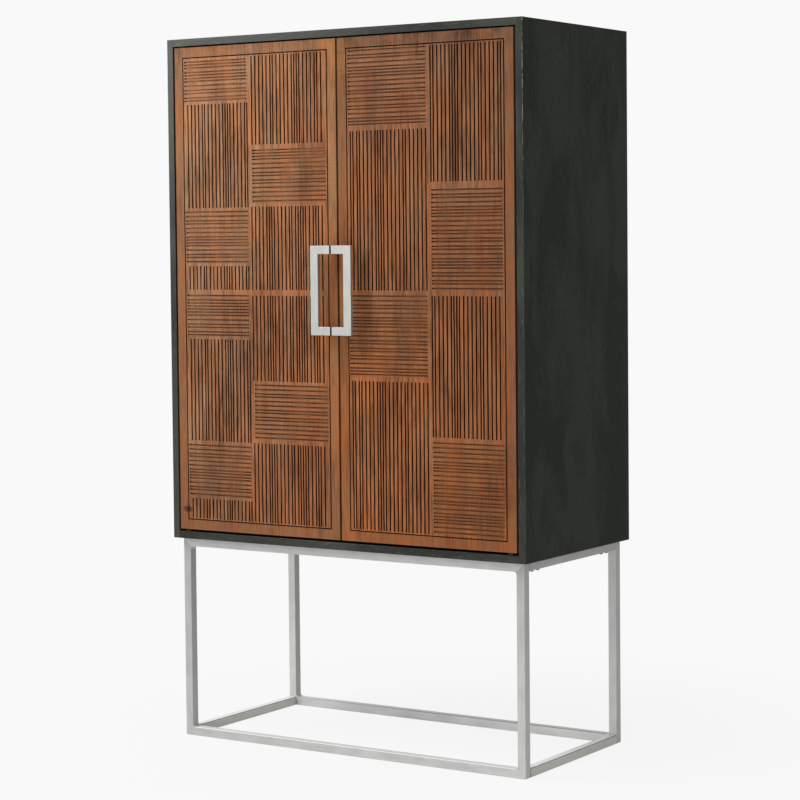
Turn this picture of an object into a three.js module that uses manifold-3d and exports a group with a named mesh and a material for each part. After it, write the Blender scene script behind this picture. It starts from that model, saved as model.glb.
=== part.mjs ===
// Bar armoire: a dark stained case with two carved doors, on a base of square steel tube.
// Lengths are in millimetres. +Z is up, the doors face -Y and the origin is on the floor,
// below the middle of the whole piece, pulls included.

import * as THREE from 'three';
import { mergeGeometries, mergeVertices } from 'three/addons/utils/BufferGeometryUtils.js';
import Module from 'manifold-3d';

const wasm = await Module();
wasm.setup();

// Overall sizes
const caseWidth = 1016;
const caseDepth = 508;
const caseHeight = 1240;
const baseHeight = 500;

// Clearances shared by all pieces
const glueLine = 0.1;
const seatGap = 0.3;
const overrun = 2;

// Case panels
const panelThickness = 18;
const backThickness = 9;
const backRebate = 8;
const housingDepth = 6;

// Shelves and divider
const shelfSetback = 48;
const lowerBayHeight = 542;
const adjustableShelfHeight = 800;
const shelfSideGap = 0.8;
const pinHoleRadius = 2.5;
const pinHoleDepth = 10;
const pinHoleStep = 64;
const pinReach = 9;
const pinHeadRadius = 3.5;
const pinInset = 60;

// Bottle rests in the lower left bay
const bottleRows = 3;
const bottlesPerRow = 4;
const bottleRailThickness = 18;
const bottleRailHeight = 52;
const bottleRadius = 43;
const bottleRestDepth = 20;
const bottleRowStep = 172;
const bottleRailSpacing = 190;
const bottleRailSetback = 60;

// Glass rails under the top
const glassRailCount = 4;
const glassRailStep = 108;
const glassRailSetback = 70;
const glassRailRearGap = 48.9;
const glassWebWidth = 14;
const glassWebHeight = 22;
const glassFlangeWidth = 76;
const glassFlangeHeight = 7;
const glassFlangeTaper = 2.5;

// Doors
const doorThickness = 22;
const doorSideGap = 4;
const doorMeetingGap = 3;
const doorTopGap = 3;
const doorBottomGap = 5;

// Carving on the doors
const fieldBorder = 26.5;
const outlineWidth = 3;
const outlineDepth = 3;
const grooveWidth = 3.6;
const grooveDepth = 4;

// Pivot hinges
const pivotInset = 20;
const pivotPinRadius = 4;
const pivotPinReach = 15;
const pivotShankDepth = 12;
const pivotRunningGap = 0.25;
const pivotFlangeRadius = 9;
const pivotFlangeThickness = 2;
const bushRadius = 6;
const bushLength = 17;

// Pulls
const pullReach = 34;
const pullHeight = 213;
const pullBarWidth = 21.5;
const pullArmHeight = 20;
const pullBarThickness = 8;
const pullSplitGap = 3.3;
const pullWidth = 56.3;
const pullMiddleHeight = 618.5;
const pullEdgeBreak = 0.6;
const postRadius = 5.5;
const postFromSplit = 15;
const screwRadius = 2;
const screwHeadRadius = 4.5;
const screwHeadHeight = 3;
const screwHeadTopShare = 0.7;
const screwGrip = 14;

// Magnetic catch
const catchWidth = 48;
const catchDepth = 16;
const catchHeight = 14;
const catchEdgeBreak = 1;
const strikeWidth = 18;
const strikeHeight = 11;
const strikeThickness = 2;
const strikeFromEdge = 4;

// Base of square tube
const baseSideInset = 15;
const baseFrontInset = 20;
const tubeSize = 22;
const tubeWall = 1.6;
const tubeCorner = 2.5;
const loopOuterCorner = 3;
const loopInnerCorner = 7;
const spigotLength = 42;
const spigotGap = 0.6;
const tubeJoint = 0.5;

// Bolts under the upper side rails
const boltRadius = 3;
const boltHeadRadius = 6;
const boltHeadHeight = 4.5;
const boltHeadTopShare = 0.6;
const boltHeadEdgeShare = 0.35;
const boltSocketRadius = 2.4;
const boltSocketDepth = 2;
const boltThreadDepth = 12;
const railBoltFromLeg = 30;
const caseBoltFromLeg = 57;

// Numbers of facets
const bearingFacets = 20;
const roundFacets = 12;
const holeFacets = 8;
const restFacets = 3;
const arcFacets = 2;

// Derived sizes
const frontY = -(caseDepth - pullReach) / 2;
const innerHalfWidth = caseWidth / 2 - panelThickness;
const shelfBackY = caseDepth - backThickness - glueLine;
const glassRailLength = shelfBackY - glassRailSetback - glassRailRearGap;
const topUnderside = caseHeight - panelThickness;
const doorWidth = innerHalfWidth - doorSideGap - doorMeetingGap / 2;
const doorHeight = caseHeight - 2 * panelThickness - doorTopGap - doorBottomGap;
const pivotX = innerHalfWidth - doorSideGap - pivotInset;
const middleShelfZ = panelThickness + lowerBayHeight;
const adjustableShelfZ = panelThickness + adjustableShelfHeight + panelThickness;
const frameHeight = baseHeight - glueLine;
const baseHalfWidth = caseWidth / 2 - baseSideInset;
const sideRailLength = caseDepth - 2 * baseFrontInset - 2 * tubeSize - 2 * tubeJoint;

const finishes = {
  stainedCase: { color: 0x2f332f, roughness: 0.62, metalness: 0 },
  interior: { color: 0x3a3630, roughness: 0.66, metalness: 0 },
  rack: { color: 0x8a5a38, roughness: 0.6, metalness: 0 },
  carvedDoor: { color: 0x9c6640, roughness: 0.58, metalness: 0 },
  nickel: { color: 0xcfd1cd, roughness: 0.3, metalness: 0.9 },
  tube: { color: 0xb4b6b3, roughness: 0.42, metalness: 0.85 },
  bolt: { color: 0x6e706e, roughness: 0.4, metalness: 0.9 },
  bearing: { color: 0xb08d4a, roughness: 0.35, metalness: 0.9 },
  catchBody: { color: 0x4a3b2e, roughness: 0.6, metalness: 0 },
};

// Carving of each door, block by block. A block's grooves run down the door or across it. Its
// stretch across is taken from the door's left edge and its stretch down from the top edge, as
// shares of the door. The rhythm gives the wide (W) and narrow (N) slats between its grooves.
const slatShares = { W: 1.51, N: 1 };

const leftDoorShares = [
  { run: 'across', across: [0.064, 0.457], down: [0.031, 0.1108], rhythm: 'NNWNNNWWNWN' },
  { run: 'down', across: [0.0836, 0.4576], down: [0.1186, 0.3315], rhythm: 'WWWWNWWWWWNNNWWWWN' },
  { run: 'across', across: [0.064, 0.457], down: [0.3399, 0.4421], rhythm: 'WWNWWWNNNWWNW' },
  { run: 'down', across: [0.0836, 0.4576], down: [0.4511, 0.4997], rhythm: 'WWWWNWWWWWNNNWWWWN' },
  { run: 'across', across: [0.064, 0.457], down: [0.5118, 0.593], rhythm: 'WNNNNNWWNWN' },
  { run: 'down', across: [0.0836, 0.4576], down: [0.6018, 0.8126], rhythm: 'WWWWNWWWWWNNNWWWWN' },
  { run: 'across', across: [0.064, 0.457], down: [0.8222, 0.9243], rhythm: 'WWNWWWNNNWWNW' },
  { run: 'down', across: [0.0836, 0.4576], down: [0.9331, 0.9745], rhythm: 'WWWWNWWWWWNNNWWWWN' },
  { run: 'down', across: [0.4874, 0.91], down: [0.0255, 0.2051], rhythm: 'WWWWWNWWWWWNNNWWWWNW' },
  { run: 'across', across: [0.4859, 0.9348], down: [0.2167, 0.3194], rhythm: 'NNNWWWNWNWWWW' },
  { run: 'down', across: [0.4808, 0.9106], down: [0.3307, 0.4997], rhythm: 'WWWWNNNWWWWNWNNNNWWNNW' },
  { run: 'down', across: [0.4808, 0.9106], down: [0.5114, 0.6854], rhythm: 'WWWWNNNWWWWNWNNNNWWNNW' },
  { run: 'across', across: [0.4859, 0.9348], down: [0.6936, 0.801], rhythm: 'WWNWWWNWNWWWW' },
  { run: 'down', across: [0.4808, 0.9106], down: [0.8126, 0.9745], rhythm: 'WWWWNNNWWWWNWNNNNWWNNW' },
];

const rightDoorShares = [
  { run: 'across', across: [0.0635, 0.5123], down: [0.0279, 0.1727], rhythm: 'WNWWNNNWWWNWNWNWWNN' },
  { run: 'down', across: [0.0758, 0.5102], down: [0.1851, 0.4997], rhythm: 'NWNWWWWNNNWWWWWNWWWWW' },
  { run: 'across', across: [0.0635, 0.5123], down: [0.5106, 0.6654], rhythm: 'WWNWWNNNWWWNWNWNWWNN' },
  { run: 'down', across: [0.0758, 0.5102], down: [0.6787, 0.9745], rhythm: 'NWNWWWWNNNWWWWWNWWWWW' },
  { run: 'down', across: [0.5393, 0.9283], down: [0.0255, 0.2888], rhythm: 'NWWWWNNNWWWWWNWWWWN' },
  { run: 'across', across: [0.5389, 0.9344], down: [0.3046, 0.4951], rhythm: 'WNWWNNNWWWNWNWNWWNNNWNWNW' },
  { run: 'down', across: [0.5393, 0.915], down: [0.5097, 0.7842], rhythm: 'NWWWWNNNWWWWWNWWWW' },
  { run: 'across', across: [0.5389, 0.9344], down: [0.795, 0.9686], rhythm: 'WWWWNNNWWWNWNWNWWNNNWW' },
];

// Geometry helpers

function merged(geometry) {
  const bare = geometry.clone();
  bare.deleteAttribute('normal');
  bare.deleteAttribute('uv');
  return mergeVertices(bare);
}

function signedVolume(geometry) {
  const points = geometry.getAttribute('position');
  const corners = geometry.getIndex().array;
  const [a, b, c] = [new THREE.Vector3(), new THREE.Vector3(), new THREE.Vector3()];
  let volume = 0;
  for (let i = 0; i < corners.length; i += 3) {
    a.fromBufferAttribute(points, corners[i]);
    b.fromBufferAttribute(points, corners[i + 1]);
    c.fromBufferAttribute(points, corners[i + 2]);
    volume += a.dot(b.cross(c));
  }
  return volume / 6;
}

// The same closed surface with its faces turned outwards.
function outward(geometry) {
  const closed = merged(geometry);
  if (signedVolume(closed) < 0) {
    const corners = closed.getIndex().array;
    for (let i = 0; i < corners.length; i += 3) {
      [corners[i], corners[i + 1]] = [corners[i + 1], corners[i]];
    }
  }
  return closed;
}

function solid(geometry) {
  const closed = outward(geometry);
  return new wasm.Manifold(
    new wasm.Mesh({
      numProp: 3,
      vertProperties: new Float32Array(closed.getAttribute('position').array),
      triVerts: new Uint32Array(closed.getIndex().array),
    }),
  );
}

function surface(body) {
  const mesh = body.getMesh();
  const geometry = new THREE.BufferGeometry();
  geometry.setAttribute('position', new THREE.BufferAttribute(mesh.vertProperties, mesh.numProp));
  geometry.setIndex(new THREE.BufferAttribute(mesh.triVerts, 1));
  return geometry;
}

function cut(geometry, cutters) {
  return surface(solid(geometry).subtract(solid(mergeGeometries(cutters.map(merged)))));
}

function joined(first, others) {
  return surface(others.reduce((body, other) => body.add(solid(other)), solid(first)));
}

// A box between two values on each axis.
function box([x0, x1], [y0, y1], [z0, z1]) {
  const geometry = new THREE.BoxGeometry(x1 - x0, y1 - y0, z1 - z0);
  return geometry.translate((x0 + x1) / 2, (y0 + y1) / 2, (z0 + z1) / 2);
}

function rod(radius, length, facets) {
  return new THREE.CylinderGeometry(radius, radius, length, facets);
}

// A rod along Z that starts at a height.
function uprightRod(radius, [z0, z1], facets) {
  return rod(radius, z1 - z0, facets)
    .rotateX(Math.PI / 2)
    .translate(0, 0, (z0 + z1) / 2);
}

// A body turned about Z from a profile of [radius, height] pairs.
function turned(profile, facets) {
  const points = profile.map(([radius, height]) => new THREE.Vector2(radius, height));
  return new THREE.LatheGeometry(points, facets).rotateX(Math.PI / 2);
}

function outlineShape(points) {
  return new THREE.Shape(points.map(([x, y]) => new THREE.Vector2(x, y)));
}

function rectangle(width, height) {
  const [x, y] = [width / 2, height / 2];
  return outlineShape([[-x, -y], [x, -y], [x, y], [-x, y]]);
}

function roundedRectangle(width, height, radius, path = new THREE.Shape()) {
  const [x, y] = [width / 2, height / 2];
  path.moveTo(x, radius - y);
  path.lineTo(x, y - radius);
  path.absarc(x - radius, y - radius, radius, 0, Math.PI / 2);
  path.absarc(radius - x, y - radius, radius, Math.PI / 2, Math.PI);
  path.absarc(radius - x, radius - y, radius, Math.PI, 1.5 * Math.PI);
  path.absarc(x - radius, radius - y, radius, 1.5 * Math.PI, 2 * Math.PI);
  return path;
}

// A shape drawn in X and Z, given a thickness that runs back from Y = 0.
function extrudedBack(shape, thickness, edgeBreak = 0, breakFacets = 1) {
  const geometry = new THREE.ExtrudeGeometry(shape, {
    depth: thickness - 2 * edgeBreak,
    bevelEnabled: edgeBreak > 0,
    bevelThickness: edgeBreak,
    bevelSize: edgeBreak,
    bevelOffset: -edgeBreak,
    bevelSegments: breakFacets,
    curveSegments: arcFacets,
  });
  return geometry.rotateX(Math.PI / 2).translate(0, thickness - edgeBreak, 0);
}

function piece(name, geometry, finish) {
  const closed = outward(geometry);
  closed.computeVertexNormals();
  const mesh = new THREE.Mesh(closed, new THREE.MeshStandardMaterial(finishes[finish]));
  mesh.name = name;
  return mesh;
}

function at(mesh, x, y, z) {
  mesh.position.set(x, y, z);
  return mesh;
}

// Base: two welded loops, four side rails on spigots, and the bolts

function loopFrame(side) {
  const shape = roundedRectangle(2 * baseHalfWidth, frameHeight, loopOuterCorner);
  const window = [2 * baseHalfWidth - 2 * tubeSize, frameHeight - 2 * tubeSize];
  shape.holes.push(roundedRectangle(...window, loopInnerCorner, new THREE.Path()));
  const loop = extrudedBack(shape, tubeSize, tubeCorner, 2).translate(0, 0, frameHeight / 2);

  const half = tubeSize / 2 - tubeWall - spigotGap;
  const legX = baseHalfWidth - tubeSize / 2;
  const railZs = [tubeSize / 2, frameHeight - tubeSize / 2];
  const spigots = [];
  const threads = [];
  for (const x of [-legX, legX]) {
    for (const z of railZs) {
      const reach = [tubeSize - tubeWall, tubeSize + spigotLength];
      spigots.push(box([x - half, x + half], reach, [z - half, z + half]));
    }
    const threadZs = [railZs[1] - half - overrun, railZs[1] - half + boltThreadDepth + seatGap];
    const thread = uprightRod(boltRadius + seatGap, threadZs, holeFacets);
    threads.push(thread.translate(x, tubeSize + railBoltFromLeg, 0));
  }
  const geometry = cut(joined(loop, spigots), threads);
  return side > 0 ? geometry.rotateZ(Math.PI) : geometry;
}

// Hollow side rail along Y, centred on the tube, with its holes for the bolts.
function sideRail(bolted) {
  const shape = roundedRectangle(tubeSize, tubeSize, tubeCorner);
  const bore = tubeSize - 2 * tubeWall;
  shape.holes.push(rectangle(bore, bore));
  const tube = extrudedBack(shape, sideRailLength).translate(0, -sideRailLength / 2, 0);
  if (!bolted) {
    return tube;
  }
  const holes = [];
  for (const end of [-1, 1]) {
    const railY = end * (sideRailLength / 2 + tubeJoint - railBoltFromLeg);
    const caseY = end * (sideRailLength / 2 + tubeJoint - caseBoltFromLeg);
    const lowerWall = [-tubeSize / 2 - overrun, overrun - tubeSize / 2 + tubeWall];
    const bothWalls = [-tubeSize / 2 - overrun, tubeSize / 2 + overrun];
    holes.push(uprightRod(boltRadius + seatGap, lowerWall, holeFacets).translate(0, railY, 0));
    holes.push(uprightRod(boltRadius + seatGap, bothWalls, holeFacets).translate(0, caseY, 0));
  }
  return cut(tube, holes);
}

// Button-head bolt pointing up, with its head below Z = 0.
function bolt(length) {
  const body = turned(
    [
      [0, -boltHeadHeight],
      [boltHeadRadius * boltHeadTopShare, -boltHeadHeight],
      [boltHeadRadius, -boltHeadHeight * boltHeadEdgeShare],
      [boltHeadRadius, 0],
      [boltRadius, 0],
      [boltRadius, length],
      [0, length],
    ],
    roundFacets,
  );
  const socket = [-boltHeadHeight - overrun, boltSocketDepth - boltHeadHeight];
  return cut(body, [uprightRod(boltSocketRadius, socket, 6)]);
}

function buildBase() {
  const base = new THREE.Group();
  const rearY = caseDepth - baseFrontInset;
  base.add(at(piece('base_front_frame', loopFrame(-1), 'tube'), 0, baseFrontInset, 0));
  base.add(at(piece('base_rear_frame', loopFrame(1), 'tube'), 0, rearY, 0));

  const railX = baseHalfWidth - tubeSize / 2;
  const upperZ = frameHeight - tubeSize / 2;
  const boltZ = frameHeight - tubeSize - glueLine;
  for (const [label, side] of [['left', -1], ['right', 1]]) {
    const x = side * railX;
    base.add(at(piece(`base_upper_${label}_rail`, sideRail(true), 'tube'), x, caseDepth / 2, upperZ));
    base.add(at(piece(`base_lower_${label}_rail`, sideRail(false), 'tube'), x, caseDepth / 2, tubeSize / 2));
    for (const [place, end] of [['front', -1], ['rear', 1]]) {
      const legY = caseDepth / 2 + end * (sideRailLength / 2 + tubeJoint);
      const railBolt = bolt(tubeWall + spigotGap + boltThreadDepth);
      const caseBolt = bolt(tubeSize + boltThreadDepth);
      const railY = legY - end * railBoltFromLeg;
      const caseY = legY - end * caseBoltFromLeg;
      base.add(at(piece(`rail_bolt_${place}_${label}`, railBolt, 'bolt'), x, railY, boltZ));
      base.add(at(piece(`case_bolt_${place}_${label}`, caseBolt, 'bolt'), x, caseY, boltZ));
    }
  }
  return base;
}

// Case: four panels rebated for the back, with a housed shelf and the interior fittings

function rebateCutter() {
  const halfWidth = innerHalfWidth + backRebate;
  const depth = [caseDepth - backThickness - glueLine, caseDepth + overrun];
  const height = [panelThickness - backRebate, topUnderside + backRebate];
  return box([-halfWidth, halfWidth], depth, height);
}

function sidePanel(side) {
  const xs = side > 0 ? [innerHalfWidth, caseWidth / 2] : [-caseWidth / 2, -innerHalfWidth];
  const panel = box(xs, [0, caseDepth], [0, caseHeight]);
  const housingHalf = innerHalfWidth + housingDepth;
  const housing = box(
    [-housingHalf, housingHalf],
    [shelfSetback - seatGap, caseDepth - backThickness + overrun],
    [middleShelfZ - seatGap, middleShelfZ + panelThickness + seatGap],
  );
  const holes = pinPlaces().flatMap((y) => [-1, 0, 1].map((step) => {
    const z = pinHeight() + step * pinHoleStep;
    const hole = rod(pinHoleRadius, pinHoleDepth + overrun, holeFacets).rotateZ(Math.PI / 2);
    return hole.translate(side * (innerHalfWidth + (pinHoleDepth - overrun) / 2), y, z);
  }));
  const rebated = cut(cut(panel, [rebateCutter()]), [housing]);
  return cut(rebated, holes);
}

function bottomPanel() {
  const half = innerHalfWidth - glueLine;
  const panel = box([-half, half], [0, caseDepth], [0, panelThickness]);
  const holes = [];
  const legY = caseDepth / 2 - sideRailLength / 2 - tubeJoint;
  for (const side of [-1, 1]) {
    for (const y of [legY + caseBoltFromLeg, caseDepth - legY - caseBoltFromLeg]) {
      const hole = uprightRod(boltRadius + seatGap, [-overrun, boltThreadDepth + seatGap], holeFacets);
      holes.push(hole.translate(side * (baseHalfWidth - tubeSize / 2), y, 0));
    }
    const socket = [panelThickness - pivotShankDepth - seatGap, panelThickness + overrun];
    const pivot = uprightRod(pivotPinRadius + seatGap, socket, roundFacets);
    holes.push(pivot.translate(side * pivotX, doorThickness / 2, 0));
  }
  return cut(cut(panel, [rebateCutter()]), holes);
}

function topPanel() {
  const half = innerHalfWidth - glueLine;
  const panel = box([-half, half], [0, caseDepth], [topUnderside, caseHeight]);
  const socket = [topUnderside - overrun, topUnderside + pivotShankDepth + seatGap];
  const holes = [-1, 1].map((side) => {
    const pivot = uprightRod(pivotPinRadius + seatGap, socket, roundFacets);
    return pivot.translate(side * pivotX, doorThickness / 2, 0);
  });
  return cut(cut(panel, [rebateCutter()]), holes);
}

function backPanel() {
  const half = innerHalfWidth + backRebate - seatGap;
  const low = panelThickness - backRebate + seatGap;
  const high = topUnderside + backRebate - seatGap;
  return box([-half, half], [caseDepth - backThickness, caseDepth], [low, high]);
}

function shelfBoard([x0, x1], z) {
  return box([x0, x1], [shelfSetback, shelfBackY], [z, z + panelThickness]);
}

function divider() {
  const heights = [panelThickness + glueLine, middleShelfZ - glueLine];
  return box([-panelThickness / 2, panelThickness / 2], [shelfSetback, shelfBackY], heights);
}

// Depths of the two rows of shelf pins, and the height of the pins in use.
function pinPlaces() {
  return [shelfSetback + pinInset, caseDepth - backThickness - pinInset];
}

function pinHeight() {
  return adjustableShelfZ - seatGap - pinHeadRadius;
}

// Shelf pin along X, with its shoulder against the side panel at X = 0.
function shelfPin() {
  const radius = pinHoleRadius - seatGap;
  return turned(
    [
      [0, seatGap - pinHoleDepth],
      [radius, seatGap - pinHoleDepth],
      [radius, glueLine],
      [pinHeadRadius, glueLine],
      [pinHeadRadius, pinReach],
      [0, pinReach],
    ],
    roundFacets,
  ).rotateY(-Math.PI / 2);
}

// Board with a row of rests for bottles along its upper edge.
function bottleRail(width) {
  const shape = new THREE.Shape();
  const step = width / bottlesPerRow;
  const rise = bottleRadius - bottleRestDepth;
  const halfChord = Math.sqrt(bottleRadius ** 2 - rise ** 2);
  const half = Math.asin(halfChord / bottleRadius);
  shape.moveTo(0, 0);
  shape.lineTo(0, bottleRailHeight);
  for (let i = 0; i < bottlesPerRow; i += 1) {
    const x = (i + 1 / 2) * step;
    shape.lineTo(x - halfChord, bottleRailHeight);
    const start = 1.5 * Math.PI - half;
    shape.absarc(x, bottleRailHeight + rise, bottleRadius, start, start + 2 * half);
  }
  shape.lineTo(width, bottleRailHeight);
  shape.lineTo(width, 0);
  const geometry = new THREE.ExtrudeGeometry(shape, {
    depth: bottleRailThickness,
    bevelEnabled: false,
    curveSegments: restFacets,
  });
  return geometry.rotateX(Math.PI / 2).translate(0, bottleRailThickness, 0);
}

// T-section rail that a glass's foot slides along, hung under Z = 0.
function glassRail() {
  const [web, flange] = [glassWebWidth / 2, glassFlangeWidth / 2];
  const deep = -glassWebHeight - glassFlangeHeight;
  const half = [
    [web, 0],
    [web, -glassWebHeight],
    [flange, -glassWebHeight - glassFlangeTaper],
    [flange, deep],
  ];
  const mirrored = half.map(([x, z]) => [-x, z]).reverse();
  return extrudedBack(outlineShape([...half, ...mirrored]), glassRailLength);
}

function pivotPin(up) {
  const flangeGap = up ? seatGap : -glueLine;
  const flange = up ? pivotFlangeThickness : glueLine;
  const flangeRadius = up ? pivotFlangeRadius : pivotPinRadius;
  const gap = up ? doorTopGap : doorBottomGap;
  const profile = [
    [0, -pivotShankDepth],
    [pivotPinRadius, -pivotShankDepth],
    [pivotPinRadius, flangeGap],
    [flangeRadius, flangeGap],
    [flangeRadius, flangeGap + flange],
    [pivotPinRadius, flangeGap + flange],
    [pivotPinRadius, gap + pivotPinReach],
    [0, gap + pivotPinReach],
  ];
  const plain = profile.filter(([radius, z], i) => up || i < 2 || i > 5);
  const pin = turned(plain, bearingFacets);
  return up ? pin.rotateX(Math.PI) : pin;
}

function ring(inner, outer, height) {
  const profile = [[inner, 0], [outer, 0], [outer, height], [inner, height], [inner, 0]];
  return turned(profile, bearingFacets);
}

function buildCase() {
  const carcase = new THREE.Group();
  carcase.add(piece('case_left_side', sidePanel(-1), 'stainedCase'));
  carcase.add(piece('case_right_side', sidePanel(1), 'stainedCase'));
  carcase.add(piece('case_bottom_panel', bottomPanel(), 'stainedCase'));
  carcase.add(piece('case_top_panel', topPanel(), 'stainedCase'));
  carcase.add(piece('case_back_panel', backPanel(), 'interior'));

  const housed = innerHalfWidth + housingDepth - seatGap;
  const fitted = innerHalfWidth - shelfSideGap;
  const bayHalf = panelThickness / 2 + glueLine;
  const lowerShelfZ = panelThickness + (lowerBayHeight - panelThickness) / 2;
  const rightBay = [bayHalf, innerHalfWidth - glueLine];
  carcase.add(piece('middle_shelf', shelfBoard([-housed, housed], middleShelfZ), 'interior'));
  carcase.add(piece('lower_divider', divider(), 'interior'));
  carcase.add(piece('lower_right_shelf', shelfBoard(rightBay, lowerShelfZ), 'interior'));
  carcase.add(piece('adjustable_shelf', shelfBoard([-fitted, fitted], adjustableShelfZ), 'interior'));

  for (const [label, side] of [['left', -1], ['right', 1]]) {
    pinPlaces().forEach((y, i) => {
      const geometry = side < 0 ? shelfPin().rotateZ(Math.PI) : shelfPin();
      const pin = piece(`shelf_pin_${['front', 'rear'][i]}_${label}`, geometry, 'nickel');
      carcase.add(at(pin, side * innerHalfWidth, y, pinHeight()));
    });
    const upper = piece(`upper_pivot_pin_${label}`, pivotPin(true), 'bearing');
    const lower = piece(`lower_pivot_pin_${label}`, pivotPin(false), 'bearing');
    carcase.add(at(upper, side * pivotX, doorThickness / 2, topUnderside));
    carcase.add(at(lower, side * pivotX, doorThickness / 2, panelThickness));
    const washer = ring(pivotPinRadius + seatGap, pivotFlangeRadius, doorBottomGap - 2 * seatGap);
    const washerMesh = piece(`thrust_washer_${label}`, washer, 'bearing');
    carcase.add(at(washerMesh, side * pivotX, doorThickness / 2, panelThickness + seatGap));
  }

  const bayWidth = innerHalfWidth - glueLine - bayHalf;
  for (let row = 0; row < bottleRows; row += 1) {
    const z = panelThickness + glueLine + row * bottleRowStep;
    for (const [place, offset] of [['front', 0], ['rear', bottleRailSpacing]]) {
      const y = shelfSetback + bottleRailSetback + offset;
      const rail = piece(`bottle_rail_${place}_${row + 1}`, bottleRail(bayWidth), 'rack');
      carcase.add(at(rail, glueLine - innerHalfWidth, y, z));
    }
  }

  for (let i = 0; i < glassRailCount; i += 1) {
    const x = (i - (glassRailCount - 1) / 2) * glassRailStep;
    const rail = piece(`glass_rail_${i + 1}`, glassRail(), 'rack');
    carcase.add(at(rail, x, glassRailSetback, topUnderside - glueLine));
  }

  const catchY = doorThickness + glueLine + strikeThickness + seatGap;
  const shape = roundedRectangle(catchWidth, catchHeight, catchEdgeBreak);
  const housing = piece('magnetic_catch', extrudedBack(shape, catchDepth), 'catchBody');
  carcase.add(at(housing, 0, catchY, topUnderside - glueLine - catchHeight / 2));
  return carcase;
}

// Doors: each one is built about its pivot axis, at half its thickness, up from its lower edge

function grooves(leftEdge, blockShares) {
  const front = [-doorThickness / 2 - overrun, grooveDepth - doorThickness / 2];
  const place = (share) => leftEdge + share * doorWidth;
  const height = (share) => doorHeight * (1 - share);
  const cutters = [];
  for (const block of blockShares) {
    const down = block.run === 'down';
    const [start, end] = down ? block.across.map(place) : block.down.map(height);
    const slats = [...block.rhythm].map((slat) => slatShares[slat]);
    const total = slats.reduce((sum, slat) => sum + slat, 0);
    let reached = 0;
    for (const slat of [0, ...slats]) {
      reached += slat;
      const middle = start + (end - start) * (reached / total);
      const width = [middle - grooveWidth / 2, middle + grooveWidth / 2];
      const xs = down ? width : block.across.map(place);
      const zs = down ? block.down.map(height).reverse() : width;
      cutters.push(box(xs, front, zs));
    }
  }
  return cutters;
}

// The narrow line that frames the carved field.
function fieldOutline(leftEdge) {
  const width = doorWidth - 2 * fieldBorder;
  const height = doorHeight - 2 * fieldBorder;
  const shape = rectangle(width + outlineWidth, height + outlineWidth);
  shape.holes.push(rectangle(width - outlineWidth, height - outlineWidth));
  const line = extrudedBack(shape, outlineDepth + overrun);
  return line.translate(leftEdge + doorWidth / 2, -doorThickness / 2 - overrun, doorHeight / 2);
}

function pullHeights() {
  const middle = doorHeight + doorTopGap + panelThickness - pullMiddleHeight;
  const offset = (pullHeight - pullArmHeight) / 2;
  return [middle - offset, middle + offset];
}

// Meeting edge of the pair of doors, seen from one door's pivot, and the line of its pull's posts.
function splitX(side) {
  return -side * pivotX;
}

function postX(side) {
  return splitX(side) + side * postFromSplit;
}

function doorPanel(side) {
  const leftEdge = side < 0 ? -pivotInset : pivotInset - doorWidth;
  const xs = [leftEdge, leftEdge + doorWidth];
  const board = box(xs, [-doorThickness / 2, doorThickness / 2], [0, doorHeight]);
  const blockShares = side < 0 ? leftDoorShares : rightDoorShares;
  const carved = cut(board, [...grooves(leftEdge, blockShares), fieldOutline(leftEdge)]);
  const radius = bushRadius + seatGap;
  const holes = [
    uprightRod(radius, [-overrun, bushLength + seatGap], bearingFacets),
    uprightRod(radius, [doorHeight - bushLength - seatGap, doorHeight + overrun], bearingFacets),
  ];
  for (const z of pullHeights()) {
    const through = rod(screwRadius + seatGap, doorThickness + 2 * overrun, holeFacets);
    holes.push(through.translate(postX(side), 0, z));
  }
  const counterbores = pullHeights().map((z) => {
    const depth = screwHeadHeight + seatGap;
    const bore = rod(screwHeadRadius + seatGap, depth + overrun, roundFacets);
    return bore.translate(postX(side), (doorThickness - depth + overrun) / 2, z);
  });
  return cut(cut(carved, holes), counterbores);
}

// C-shaped pull drawn about the middle of the pair, with a tapped post behind each arm.
function pull(side) {
  const outer = pullSplitGap / 2 + pullWidth;
  const shape = outlineShape([
    [side * pullSplitGap / 2, pullHeight / 2],
    [side * outer, pullHeight / 2],
    [side * outer, -pullHeight / 2],
    [side * pullSplitGap / 2, -pullHeight / 2],
    [side * pullSplitGap / 2, pullArmHeight - pullHeight / 2],
    [side * (outer - pullBarWidth), pullArmHeight - pullHeight / 2],
    [side * (outer - pullBarWidth), pullHeight / 2 - pullArmHeight],
    [side * pullSplitGap / 2, pullHeight / 2 - pullArmHeight],
  ]);
  const bar = extrudedBack(shape, pullBarThickness, pullEdgeBreak).translate(0, -pullReach, 0);
  const weld = pullBarThickness / 2;
  const postLength = pullReach - pullBarThickness + weld - glueLine;
  const posts = [];
  const threads = [];
  for (const end of [-1, 1]) {
    const z = (end * (pullHeight - pullArmHeight)) / 2;
    const post = rod(postRadius, postLength, roundFacets);
    posts.push(post.translate(side * postFromSplit, -postLength / 2 - glueLine, z));
    const thread = rod(screwRadius + seatGap, screwGrip + seatGap + overrun, holeFacets);
    threads.push(thread.translate(side * postFromSplit, (overrun - screwGrip - seatGap) / 2, z));
  }
  return cut(joined(bar, posts), threads);
}

// Screw along Y, with its head sunk in the door's back and its point in a post of the pull.
function pullScrew() {
  const bearing = doorThickness / 2 - screwHeadHeight;
  return turned(
    [
      [0, -doorThickness / 2 - screwGrip],
      [screwRadius, -doorThickness / 2 - screwGrip],
      [screwRadius, bearing],
      [screwHeadRadius, bearing],
      [screwHeadRadius, bearing + screwHeadHeight / 2],
      [screwHeadRadius * screwHeadTopShare, doorThickness / 2 - glueLine],
      [0, doorThickness / 2 - glueLine],
    ],
    roundFacets,
  ).rotateX(-Math.PI / 2);
}

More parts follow.
